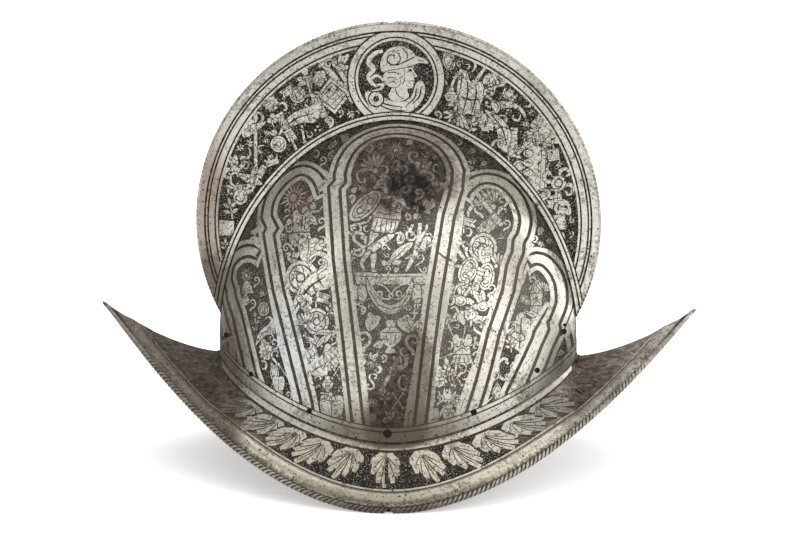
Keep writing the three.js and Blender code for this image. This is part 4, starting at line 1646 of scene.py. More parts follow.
        bust.lines(smooth_curve([(-1.8, 10), (-2.8, 12), (-5, 11.6), (-5.6, 8.8), (-3, 6.9), (0.2, 7.8),
                                 (1, 11), (-1.6, 14), (-5, 13.6)], 4),
                   smooth_curve([(8.6, 11.2), (4, 8.8), (-1, 6.6)]),
                   smooth_curve([(2, 15.6), (4.6, 12.6), (4.4, 9.6)]), [(10, 9.6), (13.4, 8.9)], width=0.7)
        tail = smooth_curve([(-8, 14), (-12.4, 12.6), (-15.4, 8.4), (-12.8, 4.6), (-15.6, 0.8),
                             (-13.4, -3.4)], 4)
        bust.band(stroke(tail, 1.6, 2.7, 1.2))
        bow = smooth_curve([(-7, -2), (-10.6, 1.4), (-14, -0.6), (-12, -3.6), (-8, -2.8)], 3)
        bust.band(stroke(bow, 1.0, 1.7, 1.0),
                  stroke(smooth_curve([(-7.6, -2.6), (-9, -5.4), (-13.4, -6.4)]), 1.6, 1.3, 0.5))
        return s.add(bust.placed(1.2, 0.4, 1.12))

    def armour(self) -> Sketch:
        """Gives the middle panel's trophy: an antique armour over a tablet, with crescent and shield.

        Returns:
            The sketch, in its place.
        """
        s = Sketch()

        def shape(points: Path, rounded: bool = True) -> None:
            """Adds one bright shape in a dark outline."""
            outline = smooth_curve(points, 3, closed=True) if rounded else np.array(points)
            s.dark(stroke(np.vstack([outline, outline[:2]]), 1.3)).bright(outline)

        s.bright(stroke(smooth_curve([(-23.8, 136.6), (-21.8, 133.5), (-16.3, 131.7), (-14.7, 128.3),
                                      (-15.8, 124.5), (-19.2, 122.9), (-21.5, 123.7)]), 1.0, 1.9, 0.9))
        s.bright(stroke(smooth_curve([(-24.2, 136.6), (-18.5, 137.7), (-13.9, 139.3), (-12.1, 142)]), 0.8,
                        1.3, 1.2))
        shape([(-11.8, 133.6), (-7.2, 132.4), (-9.8, 129.1), (-11.6, 125.7), (-13.6, 124.9), (-12.4, 129.5)])
        shape([(-11.5, 120.7), (-8.6, 121.6), (-8.3, 117.4), (-9.2, 113.6), (-8.4, 111.4), (-6.1, 109.1),
               (-7, 108.3), (-9.4, 108.9), (-10.9, 111.4), (-11.3, 115.8)])
        shape([(1.2, 132.1), (0.5, 130), (-7.3, 123.8), (-11.1, 121.1), (-13.6, 122.3), (-12.7, 124.9),
               (-5.9, 129.5), (-2.2, 132)])
        shape([(-11.1, 121.6), (-13.6, 122.3), (-17.7, 116.6), (-16.9, 113.5), (-15.5, 111.3), (-14.5, 111.7),
               (-15.5, 114.2), (-15.4, 116.2)])
        s.lines([(-11.5, 124.6), (-8.6, 127.2)], [(-12.2, 120.4), (-9.2, 121.9)], width=0.6)
        shape([(-10.5, 142), (-10.1, 145.5), (-8.7, 148.1), (-9.4, 150.6), (-7.4, 152.4), (-4.4, 153.1),
               (-0.6, 154), (2.9, 153.2), (5.9, 152.4), (7.1, 150.2), (5.7, 147.1), (5.1, 143.3),
               (4.4, 139.9), (-3.2, 140.8)])
        s.lines([(-6.6, 149.3), (-4.3, 150.8), (-2, 149.3), (-2.6, 147), (-4.6, 147.3)],
                [(1.1, 149), (3.2, 150.3), (5.1, 148.7), (4.1, 146.6), (2.1, 147.1)],
                [(-0.6, 153.2), (-0.9, 146.3), (-1.6, 141.3)],
                [(-8.3, 144.7), (-4.1, 143.3), (-0.3, 143.6), (4.3, 144.7)],
                [(-5.9, 152), (-2.8, 151.5), (-0.5, 152.4)], width=0.7)
        shape([(-11.8, 135.1), (-10, 141.5), (-3.2, 140.5), (4.4, 139.7), (1.9, 133.4), (-0.3, 132.5),
               (-2.2, 133.4), (-4.5, 132.8), (-6.8, 133.7), (-9.1, 133.3)], False)
        s.lines([(-8.2, 140.7), (-9.7, 134.2)], [(-5.5, 140.4), (-6.7, 133.5)], [(-2.8, 140), (-3.8, 133.2)],
                [(-0.1, 139.6), (-0.9, 133.2)], [(2.2, 139.3), (1.2, 133.8)], width=0.8)
        for rx, ry, tone in ((6.0, 12.2, s.dark), (5.2, 11.4, s.bright), (4.0, 9.6, s.dark),
                             (3.5, 9.0, s.bright)):
            tone(oval(-15.6, 148.0, rx, ry, -46, 26))
        s.lines(arc(-18.6, 145.2, 1.9, 0, 330, 9), arc(-12.6, 150.8, 1.9, 0, 330, 9), width=0.7)
        s.bright(stroke(smooth_curve([(15.9, 138.5), (15.1, 129.8), (13.9, 122.2), (11, 116.1),
                                      (8.5, 111.2)]), 2.0, 3.0, 1.3))
        s.bright(stroke([(14.3, 121.8), (10.9, 119.7), (8, 118.2)], 2.0, 1.4, 0.6))
        s.bright(stroke([(7.9, 137.3), (10.6, 133.6), (12.8, 132.7)], 0.8, 1.4, 0.8),
                 stroke([(19.9, 138.2), (19.3, 134.3), (17.1, 132)], 0.8, 1.4, 0.8),
                 stroke([(4, 126.6), (3.6, 129.6), (5, 132.7), (6.9, 131.2)], 1.2, 1.9, 1.0))
        shape([(10.8, 127.8), (11.9, 126), (7.9, 121.4), (3.4, 117.6), (-1, 114.5), (-4.1, 114.1),
               (-5.3, 116.3), (-3.8, 117.5), (-1.8, 116.7), (1.1, 121.3), (4.8, 124.8)])
        s.lines([(-1.8, 115.5), (3.4, 119.8), (9.3, 125.9)], [(-3.3, 115.3), (1.9, 120.5)], width=0.6)
        shape([(0.5, 115.6), (3.4, 117.6), (6.1, 116.9), (3.9, 114.9)])
        shape([(18.6, 130.9), (22, 130.2), (21.7, 127.6), (19.5, 125.6), (19.2, 122.9), (15.8, 122.2),
               (14.6, 123.3), (16.5, 125.9)])
        shape([(-20.7, 110), (-14.7, 110.5), (-5.5, 109.6), (20.2, 110.1), (19.9, 104.1), (-19.2, 103.7)],
              False)
        s.lines([(-18.9, 108.2), (-4.7, 107.8), (18.3, 108.4)], [(-18.4, 104.6), (-14.6, 104.6)],
                [(12.7, 105), (18.4, 105)], width=0.5)
        shape([(-13.7, 107.1), (-13.1, 100.7), (-9.8, 94), (-5.2, 89.1), (0.1, 87.1), (5.4, 88.9),
               (9.9, 94.2), (12.4, 101), (12.3, 107.1), (11.2, 104), (9.1, 98.7), (5.3, 94.1), (0.1, 91.8),
               (-4.5, 93.7), (-9.1, 98.5), (-12.3, 103.7)])
        s.lines([(-11.8, 100), (-6.7, 92.1), (0.1, 89.6), (6.5, 91.9), (10.9, 100.2)], width=0.6)
        for lobe in ([(-11.1, 103.4), (-5.4, 103.5), (-0.8, 99.8), (-0.2, 96), (-3.8, 95.6), (-8, 98.5)],
                     [(10.9, 103.7), (6, 103.6), (1.5, 100.2), (0.8, 96), (4.6, 95.7), (8.3, 98.7)]):
            ring = smooth_curve(lobe, 3, closed=True)
            s.bright(stroke(np.vstack([ring, ring[:2]]), 0.9))
        for x, w, r in ((-6.1, 98.4, 1.9), (4.7, 98.6, 1.9), (0.4, 97.3, 1.6)):
            s.bright(oval(x, w, r, n=12)).dark(oval(x, w, r * 0.42, n=8))
        shape([(-17.4, 103), (-14.5, 102.5), (-13.3, 96.9), (-15.2, 93.9), (-18.3, 96.1)])
        shape([(13.6, 103.3), (16.7, 102.9), (17, 94.6), (14, 93.5), (12.1, 96.5)])
        for x, w in ((-16.7, 92.2), (-15.3, 89.2), (14.6, 91.7), (14.4, 88.6)):
            s.bright(oval(x, w, 1.5, n=10)).dark(oval(x, w, 0.6, n=8))
        return s

    def draw(self) -> Sketch:
        """Gives the whole drawing.

        Returns:
            The sketch.
        """
        whole = Sketch().dark(self.ring(118.6)).add(trophies(COMB, grow=1.5))
        whole.tiers(self.ring, RING_TIERS)
        whole.dark(np.vstack([self.above_crest(0.5), [[-120, 0], [120, 0]]]))
        for rows, *fit in ((SPANDREL,), (CENTRE,), (LEFT2, 0.95, 1.34), (RIGHT2, 0.95, 1.34), (LEFT3, 0.85),
                           (RIGHT3, 0.85), (RIGHT4, 0.8)):
            whole.add(trophies(rows, *fit))
        whole.add(self.armour())
        for panel in PANELS:
            panel.bands(whole)
        whole.tiers(self.above_base, BASE_TIERS)
        whole.tiers(self.above_crest, CREST_TIERS)
        whole.add(filler(whole, 7, 2.1, ((-112, 112), (30, 248))))
        medallion = self.medallion().placed(-0.8, SEEN_COS * 228.3 - 1.0)
        crest = self.above_crest(2.0)[::-1]
        for _, outline in medallion.shapes:
            outline[:, 1] = np.maximum(outline[:, 1], np.interp(outline[:, 0], crest[:, 0], crest[:, 1]))
        whole.add(medallion)
        whole.tiers(self.ring, RING_TIERS[:2])
        whole.tiers(self.above_crest, CREST_TIERS)
        return whole


NECK_TIERS = ((0.0, 0.6, False), (0.6, 3.9, True), (3.9, 5.4, False))
RIM_TIERS = ((0.0, 3.1, False), (3.1, 9.9, True), (9.9, 10.25, False), (10.25, 12.5, True),
             (12.5, 13.4, False), (13.4, 14.3, True))


LEAF_BODY = ((-0.24, -0.04), (-0.34, 0.25), (-0.3, 0.5), (0, 0.74), (0.3, 0.5), (0.34, 0.25), (0.24, -0.04))
LEAF_TIPS = ((-0.53, 0.36), (0.53, 0.36), (-0.5, 0.62), (0.5, 0.62), (-0.3, 0.82), (0.3, 0.82), (0, 0.97))
LEAF_RIBS = ((0.5, 0.47), (0.42, 0.72), (0.17, 0.9))


@dataclass
class BrimDrawing:
    """The drawing on one side of the brim.

    Args:
        surface: the brim's upper face.
        leaf_feet: where the leaves stand along x.
        middle_leaf: the number of the leaf that is drawn last, over the others.
        leaf_width: a leaf's width along x.
        wisps: how many fine strokes stand beyond the leaves at each end.
    """

    surface: BrimSurface = field(default_factory=BrimSurface)
    leaf_feet: tuple[float, ...] = (-78.5, -65, -51.8, -37.6, -21, -2, 17.5, 34.5, 51.6, 67.5, 82.5)
    middle_leaf: int = 5
    leaf_width: float = 14.4
    wisps: int = 18

    def stations(self, n: int = 150) -> Array:
        """Returns x along the brim, closer together towards the peaks."""
        return (self.surface.form.rim_half_length - 0.4) * np.sin(np.radians(np.linspace(-88.6, 88.6, n)))

    def outline(self) -> Array:
        """Returns the face's limit: out along the rim and back along the skull and the ridges."""
        x = self.stations()
        return np.vstack([self.surface.from_rim(x, 0.0), self.surface.from_bowl(x, 0.0)[::-1]])

    def steiner(self) -> Array:
        """Gives points that follow the moulding closely.

        Returns:
            The points.
        """
        out = []
        x = self.stations(240)
        for distance in (1.4, 2.2, 2.8, 3.3, 3.9, 4.5, 4.75, 5.2, 5.9, 6.8, 7.7, 8.5, 9.3, 10.2, 11.1, 11.8,
                         12.25, 12.5, 13.0, 13.5, 14.2, 15.4, 17.5, 20, 23, 27, 31, 35, 39):
            q = self.surface.form.rim_width(x) - distance / self.surface.scale(x)
            keep = q > self.surface.form.brim_inner(x) + 0.4
            out.append(self.surface.from_rim(x[keep], distance))
        return np.vstack(out)

    def at(self, x: float, t: float) -> Array:
        """Gives the drawing-plane point at t across the leaf field, 0 by the skull and 1 by the moulding.

        Args:
            x: the place along the brim.
            t: the place across the leaf field.
        Returns:
            The point.
        """
        xs = np.array([x])
        a, b = self.surface.from_bowl(xs, 5.6)[0], self.surface.from_rim(xs, 14.0)[0]
        return a + (b - a) * t

    def leaf(self, x: float, lean: float, width: float, rng: random.Random) -> Sketch:
        """Gives one acanthus leaf growing from the skull side, its tip leaning outward.

        Args:
            x: where its foot stands.
            lean: how far its tip is moved along x.
            width: its width along x.
            rng: the source of its small irregularities.
        Returns:
            The leaf's sketch.
        """
        def spot(u: float, t: float) -> Array:
            """Returns the place of a point u across and t along the leaf."""
            return self.at(x + u * width + lean * max(t, 0) ** 1.25, t)

        s = Sketch()
        tips = [(u + rng.uniform(-0.03, 0.03), t + rng.uniform(-0.03, 0.02)) for u, t in LEAF_TIPS]
        body = smooth_curve([spot(u, t) for u, t in LEAF_BODY], 3, closed=True)
        lobes = [smooth_curve([spot(u * 0.2, 0.0), spot(u * 0.8, t * 0.6), spot(u, t)], 3) for u, t in tips]
        for grow in (1.9, 0.0):
            shapes = [stroke(p, width * 0.12 + grow, width * 0.26 + grow, width * 0.15 + grow) for p in lobes]
            if grow:
                s.line(stroke(np.vstack([body, body[:2]]), grow), *shapes)
            else:
                s.bright(body, *shapes)
        ribs = [[spot(0, 0.12), spot(0, 0.5), spot(0, 0.9)]]
        for u, t in LEAF_RIBS:
            for d in (-1, 1):
                ribs.append(smooth_curve([spot(0.1 * d * u, 0.05 + 0.1 * t), spot(u * 0.62 * d, t * 0.62),
                                          spot(u * d, t)]))
        return s.lines(*ribs, width=0.55)

    def draw(self) -> Sketch:
        """Gives the whole drawing.

        Returns:
            The sketch.
        """
        s = Sketch()
        x = self.stations(120)
        bowl_x = x[np.abs(x) < 105.4]
        s.dark(self.outline())
        rng = random.Random(11)
        feet, middle = self.leaf_feet, self.middle_leaf
        for foot in feet[:middle] + feet[:middle:-1] + (feet[middle],):
            lean = 22 * math.tanh((foot - feet[middle]) / 32)
            s.add(self.leaf(foot, lean, self.leaf_width, rng))
        s.dark(stroke([self.at(-1.2, 0.1), self.at(-1.2, 0.5), self.at(-1.4, 0.84)], 1.4, 1.9, 1.2))
        for sign in (-1, 1):
            for k in range(self.wisps):
                x0 = sign * (86 + 1.6 * k + rng.uniform(-1, 1))
                t0, t1 = rng.uniform(0.02, 0.5), rng.uniform(0.5, 0.95)
                run = sign * rng.uniform(6, 14)
                if abs(x0 + run) > 124:
                    continue
                s.bright(stroke([self.at(x0, t0), self.at(x0 + run * 0.5, (t0 + t1) / 2 - 0.05),
                                 self.at(x0 + run, t1)], 0.2, 0.5, 0.15))
        s.tiers(lambda offset: self.surface.from_bowl(bowl_x, offset), NECK_TIERS)
        s.tiers(lambda offset: self.surface.from_rim(x, offset), RIM_TIERS)
        return s


# ---------------------------------------------------------------- ropes, peaks, lining side


@dataclass(frozen=True)
class Rope:
    """A turned edge filed like a rope.

    Args:
        radius: the roll's radius.
        pitch: the length of one turn mark.
        groove: how deep the marks are filed.
        facets: points round the roll.
        per_pitch: rings to each mark.
        fade: how far from each end the roll thins out and its marks die away.
    """

    radius: float
    pitch: float
    groove: float
    facets: int = 24
    per_pitch: int = 8
    fade: float = 0.0

    def rings(self, path: Array, up: Array, twist: int) -> tuple[Array, Array]:
        """Gives the rings of a rope along a path, and how deep in a cut each point lies.

        Args:
            path: the rope's centre line.
            up: a vector across the path at each point.
            twist: 1 or -1, the hand of the marks.
        Returns:
            The grid of points, and the depth of cut at each.
        """
        step = np.linalg.norm(np.diff(path, axis=0), axis=1)
        length = np.r_[0, np.cumsum(step)]
        marks = max(int(length[-1] / self.pitch), 4)
        s = np.linspace(0, length[-1], marks * self.per_pitch + 1)
        taper = (np.clip(np.minimum(s, length[-1] - s) / max(self.fade, 1e-3), 0, 1)
                 if self.fade else np.ones_like(s))
        centre = np.c_[[np.interp(s, length, path[:, i]) for i in range(3)]].T
        side = np.c_[[np.interp(s, length, up[:, i]) for i in range(3)]].T
        along = unit(np.gradient(centre, axis=0))
        side = unit(side - along * (side * along).sum(1, keepdims=True))
        other = np.cross(along, side)
        turn = np.arange(self.facets) * 2 * math.pi / self.facets
        phase = s[:, None] / self.pitch * 2 * math.pi + twist * turn[None, :] * 3
        cut = np.clip((np.cos(phase) - 0.1) / 0.8, 0, 1)
        cut = cut * taper[:, None] ** 2
        r = self.radius * (1 - 0.45 * (1 - taper[:, None]) ** 1.5) - self.groove * cut
        ring = (side[:, None, :] * np.cos(turn)[None, :, None]
                + other[:, None, :] * np.sin(turn)[None, :, None])
        return centre[:, None, :] + ring * r[:, :, None], cut


@dataclass
class Edges:
    """The roped edges of the brim and the comb, with their dents.

    Args:
        rim: the brim's roll.
        comb: the comb's roll.
        rim_nick: the x, width and depth of the nick in the rim.
        comb_nick: the x, width and depth of the nick in the comb.
        tip_radius: the radius of the peaks' ends.
        tip_place: how far out and how high the peaks' ends are.
        tip_lean: the direction that the peaks' ends point in.
    """

    rim: Rope = Rope(1.85, 3.0, 0.5, fade=60.0)
    comb: Rope = Rope(1.58, 2.6, 0.24, 18, 6)
    rim_nick: tuple[float, float, float] = (1.0, 6.0, 3.2)
    comb_nick: tuple[float, float, float] = (-4.5, 7.0, 1.4)
    tip_radius: float = 1.15
    tip_place: tuple[float, float] = (172.9, 90.9)
    tip_lean: tuple[float, float] = (0.72, 0.69)

    def rim_path(self, side: Side) -> tuple[Array, Array]:
        """Gives the rim's centre line and a vector across it.

        Args:
            side: the helmet's side.
        Returns:
            The line's points, and the vector at each.
        """
        half = OUTER.rim_half_length
        x = half * np.sin(np.radians(np.linspace(-90, 90, 900)))
        y = OUTER.rim_width(x)
        path = np.c_[x, side.value * (y + 0.5), OUTER.rim_z(x) - 0.7 * np.cos(x / half * math.pi / 2)]
        return path, np.tile([0.0, 0.0, 1.0], (len(x), 1))

    def build_rim(self, side: Side, finish: "Finish") -> None:
        """Builds one side of the rim's rope and notches it.

        Args:
            side: the helmet's side.
            finish: the rope's finish.
        """
        path, up = self.rim_path(side)
        rings, cut = self.rim.rings(path, up, -side.value)
        rings[:, :, 2] = np.maximum(rings[:, :, 2], 0.03)
        if side is Side.NEAR:
            x, width, depth = self.rim_nick
            floor = depth * (1 - np.abs(rings[:, :, 0] - x) / (width / 2))
            rings[:, :, 2] = np.maximum(rings[:, :, 2], np.maximum(floor, 0))
        grid_piece(f"rim_rope_{side.name.lower()}", rings, finish, True, True, cut)

    def build_comb(self, finish: "Finish") -> None:
        """Builds the comb's rope.

        Args:
            finish: the rope's finish.
        """
        t = np.radians(np.linspace(-29, 209, 900))
        form = OUTER
        path = np.c_[form.comb_radius * np.cos(t), np.zeros_like(t),
                     form.comb_centre_z + form.comb_radius * np.sin(t)]
        x, up = path[:, 0], path[:, 2] - form.shoulder_z
        reach = np.hypot(x, up)
        outside = reach > form.crest(x / reach, np.maximum(up, 0) / reach) - 1.0
        path = path[outside & (path[:, 2] > form.shoulder_z)]
        rings, cut = self.comb.rings(path, np.tile([0.0, 1.0, 0.0], (len(path), 1)), 1)
        x, width, depth = self.comb_nick
        top = form.comb_centre_z + form.comb_radius + self.comb.radius
        roof = top - np.maximum(depth * (1 - np.abs(rings[:, :, 0] - x) / (width / 2)), 0)
        rings[:, :, 2] = np.minimum(rings[:, :, 2], roof)
        grid_piece("comb_rope", rings, finish, True, True, cut)

    def build_tips(self, finish: "Finish") -> None:
        """Builds the two peaks' ends, the back one sharper than the front.

        Args:
            finish: the tips' finish.
        """
        for name, sign, stretch in (("back_tip", -1, 1.9), ("front_tip", 1, 1.6)):
            bm = bmesh.new()
            bmesh.ops.create_uvsphere(bm, u_segments=20, v_segments=12, radius=self.tip_radius * MM)
            along = Vector((sign * self.tip_lean[0], 0, self.tip_lean[1]))
            for v in bm.verts:
                v.co += along * v.co.dot(along) * stretch
                v.co += Vector((sign * self.tip_place[0] * MM, 0, self.tip_place[1] * MM))
            for f in bm.faces:
                f.smooth = True
            mesh = bpy.data.meshes.new(name)
            bm.to_mesh(mesh)
            bm.free()
            place_piece(mesh, name, finish)


# ---------------------------------------------------------------- finishes


class Term:
    """A shader socket that adds, multiplies and so on like a number."""

    def __init__(self, graph: "Graph", socket: bpy.types.NodeSocket) -> None:
        """Wraps a graph's output socket."""
        self.graph, self.socket = graph, socket

    def _math(self, operation: str, a: "Value", b: "Value") -> "Term":
        """Returns a maths node's result."""
        return self.graph.node("ShaderNodeMath", {"operation": operation}, {0: a, 1: b})

    def __add__(self, other: "Value") -> "Term":
        """Returns self + other."""
        return self._math("ADD", self, other)

    def __sub__(self, other: "Value") -> "Term":
        """Returns self - other."""
        return self._math("SUBTRACT", self, other)

    def __mul__(self, other: "Value") -> "Term":
        """Returns self * other."""
        return self._math("MULTIPLY", self, other)

    def __truediv__(self, other: "Value") -> "Term":
        """Returns self / other."""
        return self._math("DIVIDE", self, other)

    def __pow__(self, other: "Value") -> "Term":
        """Returns self to the power of other."""
        return self._math("POWER", self, other)

    def __gt__(self, other: "Value") -> "Term":
        """Returns 1 where self > other."""
        return self._math("GREATER_THAN", self, other)

    def __lt__(self, other: "Value") -> "Term":
        """Returns 1 where self < other."""
        return self._math("LESS_THAN", self, other)

    def __radd__(self, other: "Value") -> "Term":
        """Returns other + self."""
        return self._math("ADD", other, self)

    def __rsub__(self, other: "Value") -> "Term":
        """Returns other - self."""
        return self._math("SUBTRACT", other, self)

    def __rmul__(self, other: "Value") -> "Term":
        """Returns other * self."""
        return self._math("MULTIPLY", other, self)

    def maximum(self, other: "Value") -> "Term":
        """Returns the larger of the two."""
        return self._math("MAXIMUM", self, other)

    def minimum(self, other: "Value") -> "Term":
        """Returns the smaller of the two."""
        return self._math("MINIMUM", self, other)

    def ramp(self, low: float, high: float) -> "Term":
        """Returns 0 below low, 1 above high and a smooth rise between; low may be the larger."""
        return self.graph.node("ShaderNodeMapRange", {"interpolation_type": "SMOOTHSTEP"},
                               {"Value": self, "From Min": low, "From Max": high})


Value = Term | float
BRIM_GAP = (41, 37)
Colour = Term | tuple[float, float, float]


class Graph:
    """A material's node graph, written as expressions.

    Args:
        material: the material whose nodes are written.
    """

    def __init__(self, material: bpy.types.Material) -> None:
        """Opens the material's nodes."""
        material.use_nodes = True
        self.tree = material.node_tree
        self.shader = self.tree.nodes["Principled BSDF"]
        self.place = self.node("ShaderNodeTexCoord", {}, {}, "Object")
        parts = self.node("ShaderNodeSeparateXYZ", {}, {0: self.place}, None)
        self.x, self.y, self.z = (Term(self, parts.outputs[i]) * 1000.0 for i in range(3))

    def node(self, kind: str, settings: dict, inputs: dict,
             output: int | str | None = 0) -> Term | bpy.types.Node:
        """Adds a node.

        Args:
            kind: the node's type.
            settings: its properties.
            inputs: its inputs, each a number, a tuple or a Term.
            output: the output to return as a Term, or None for the node itself.
        Returns:
            A Term on the output, or the node.
        """
        made = self.tree.nodes.new(kind)
        for key, value in settings.items():
            setattr(made, key, value)
        for key, value in inputs.items():
            if isinstance(value, Term):
                self.tree.links.new(value.socket, made.inputs[key])
            else:
                made.inputs[key].default_value = value
        return made if output is None else Term(self, made.outputs[output])

    def noise(self, scale: float, detail: float = 3.0, rough: float = 0.55, warp: float = 0.0,
              where: Term | None = None) -> Term:
        """Returns noise from 0 to 1; scale is features per metre."""
        inputs = {"Vector": where or self.place, "Scale": scale, "Detail": detail, "Roughness": rough}
        return self.node("ShaderNodeTexNoise", {}, {**inputs, "Distortion": warp}, "Fac")

    def cells(self, scale: float) -> Term:
        """Returns the distance to the nearest centre of a cell pattern."""
        return self.node("ShaderNodeTexVoronoi", {}, {"Vector": self.place, "Scale": scale}, "Distance")

    def size(self, value: Term) -> Term:
        """Returns a term without its sign."""
        return self.node("ShaderNodeMath", {"operation": "ABSOLUTE"}, {0: value})

    def shifted(self, operation: str, amount: tuple[float, float, float]) -> Term:
        """Returns the place with a vector added to it or multiplied in."""
        made = self.node("ShaderNodeVectorMath", {"operation": operation}, {0: self.place, 1: amount}, None)
        return Term(self, made.outputs[0])

    def spot(self, centre: tuple[float, float], radius: tuple[float, float], soft: float = 0.5) -> Term:
        """Returns 1 inside an oval of the side view, (x, z) in millimetres, fading to 0 at its edge."""
        dx, dz = (self.x - centre[0]) / radius[0], (self.z - centre[1]) / radius[1]
        return (dx * dx + dz * dz).ramp(1.0, 1.0 - soft)

    def brim_field(self) -> Term:
        """Gives 1 on the brown parts of the brim, towards the peaks.

        Returns:
            The mask.
        """
        reach, depth = self.size(self.x), self.size(self.y)
        beyond = reach.ramp(104, 108)
        beside = (depth + reach * 0.9).ramp(104, 128) * (self.z - reach * 0.36).ramp(30, 22)
        return (beyond * self.z.ramp(93, 92)).maximum(beside * reach.ramp(62, 92))

    def rim_gap(self) -> Term:
        """Gives roughly how far in from the rim a point of the brim lies, in millimetres.

        Returns:
            The distance.
        """
        reach = self.size(self.x) / OUTER.rim_half_length
        left = (1.0 - reach * reach).maximum(0.0)
        slope = reach * left**0.25 * (OUTER.rim_half_width * 2.5 / OUTER.rim_half_length)
        return (left**1.25 * OUTER.rim_half_width - self.size(self.y)) * 1.42 / (slope * slope + 1.0) ** 0.5

    def deep(self, low: float, high: float) -> Term:
        """Returns 0 near the middle plane and 1 away from it, for distances squared from low to high."""
        return (self.y * self.y).ramp(low, high)

    def on_brim(self) -> Term:
        """Returns 1 on the brim and 0 on the skull."""
        return self.rim_gap().ramp(*BRIM_GAP)

    def mix(self, amount: Value, a: Colour, b: Colour) -> Term:
        """Gives colour a at 0 and b at 1.

        Args:
            amount: how much of b.
            a: a colour.
            b: a colour.
        Returns:
            The mixed colour.
        """
        made = self.node("ShaderNodeMix", {"data_type": "RGBA"}, {}, None)
        for index, value in ((0, amount), (6, a), (7, b)):
            if isinstance(value, Term):
                self.tree.links.new(value.socket, made.inputs[index])
            elif index == 0:
                made.inputs[0].default_value = value
            else:
                made.inputs[index].default_value = (*value, 1.0)
        return Term(self, made.outputs[2])

    def bump(self, height: Term, strength: float, distance: float) -> Term:
        """Returns a bumped normal."""
        return self.node("ShaderNodeBump", {}, {"Height": height, "Strength": strength, "Distance": distance})

    def finish(self, **inputs: Value | Colour) -> None:
        """Links or sets the shader's inputs, named with underscores for spaces.

        Args:
            inputs: each input's value.
        """
        for key, value in inputs.items():
            socket = self.shader.inputs[key.replace("_", " ")]
            if isinstance(value, Term):
                self.tree.links.new(value.socket, socket)
            else:
                socket.default_value = (*value, 1.0) if isinstance(value, tuple) else value


@dataclass(frozen=True)
class Finish:
    """A finish: a material made once and shared.

    Args:
        name: the material's name.
        slot: not used.
    """

    name: str
    slot: Slot

    def material(self) -> bpy.types.Material:
        """Gives the material, made the first time it is asked for.

        Returns:
            The material.
        """
        name = f"finish_{self.name}"
        found = bpy.data.materials.get(name)
        if found is None:
            found = bpy.data.materials.new(name)
            self.write(Graph(found))
        return found

    def write(self, g: Graph) -> None:
        """Writes the material's nodes."""
        raise NotImplementedError

    def patina(self, g: Graph) -> tuple[Term, Term]:
        """Gives where brown patina lies, with painted shade mixed in on the crown, and where it is nearly
        black.

        Args:
            g: the graph to write in.
        Returns:
            The two masks.
        """
        drift = g.noise(38, 4, 0.6) - 0.5
        fine = g.noise(260, 4, 0.65) - 0.5
        back = (g.x + drift * 34).ramp(-74, -96) * (g.z + drift * 20).ramp(146, 104)
        back_low = (g.x + drift * 20).ramp(-90, -102) * g.z.ramp(120, 94)
        front = (g.x + drift * 20).ramp(92, 105) * (g.z + drift * 20).ramp(104, 78) * 0.6
        middle = g.spot((3, 44), (24, 34), 1.0).maximum(g.spot((12, 70), (18, 46), 1.0) * 0.8)
        middle = middle * (1.0 - g.on_brim() * 0.75)
        # the crown's brown is partly patina and partly painted shade
        crown = g.spot((4, 180), (46, 34), 1.0) * g.deep(60, 260)
        brown = back.maximum(back_low).maximum(front).maximum(middle * 1.25).maximum(crown)
        brown = (brown + (drift * 1.3 + fine * 0.9) * brown.ramp(0.0, 0.4)).ramp(0.1, 0.95)
        blotch = (g.noise(150, 4, 0.65) + drift * 0.5).ramp(0.42, 0.62)
        black = (g.spot((8, 170), (22, 14), 1.0) * 1.8).minimum(1.0) * blotch
        black = black.maximum(g.spot((8, 180), (34, 22), 1.0) * (fine + drift + 0.5).ramp(0.5, 0.7) * 0.7)
        return brown, black

    def painted_shade(self, g: Graph) -> Term:
        """Gives the painted shade: darker towards the bottom of the skull's sides and, less, of the brim,
        darkest near the floor, and round the skull's back end.

        Args:
            g: the graph to write in.
        Returns:
            The mask.
        """
        deep = g.deep(900, 2500)
        brim = g.on_brim()
        # painted shade going down the sides towards the floor
        low = g.z.ramp(70, 37) * deep * (0.84 - brim * 0.62) + g.z.ramp(18, 4) * 0.4
        # painted shade round the skull's back end
        back = g.x.ramp(-62, -100) * deep * g.z.ramp(60, 74) * 0.45
        return low.maximum(back)


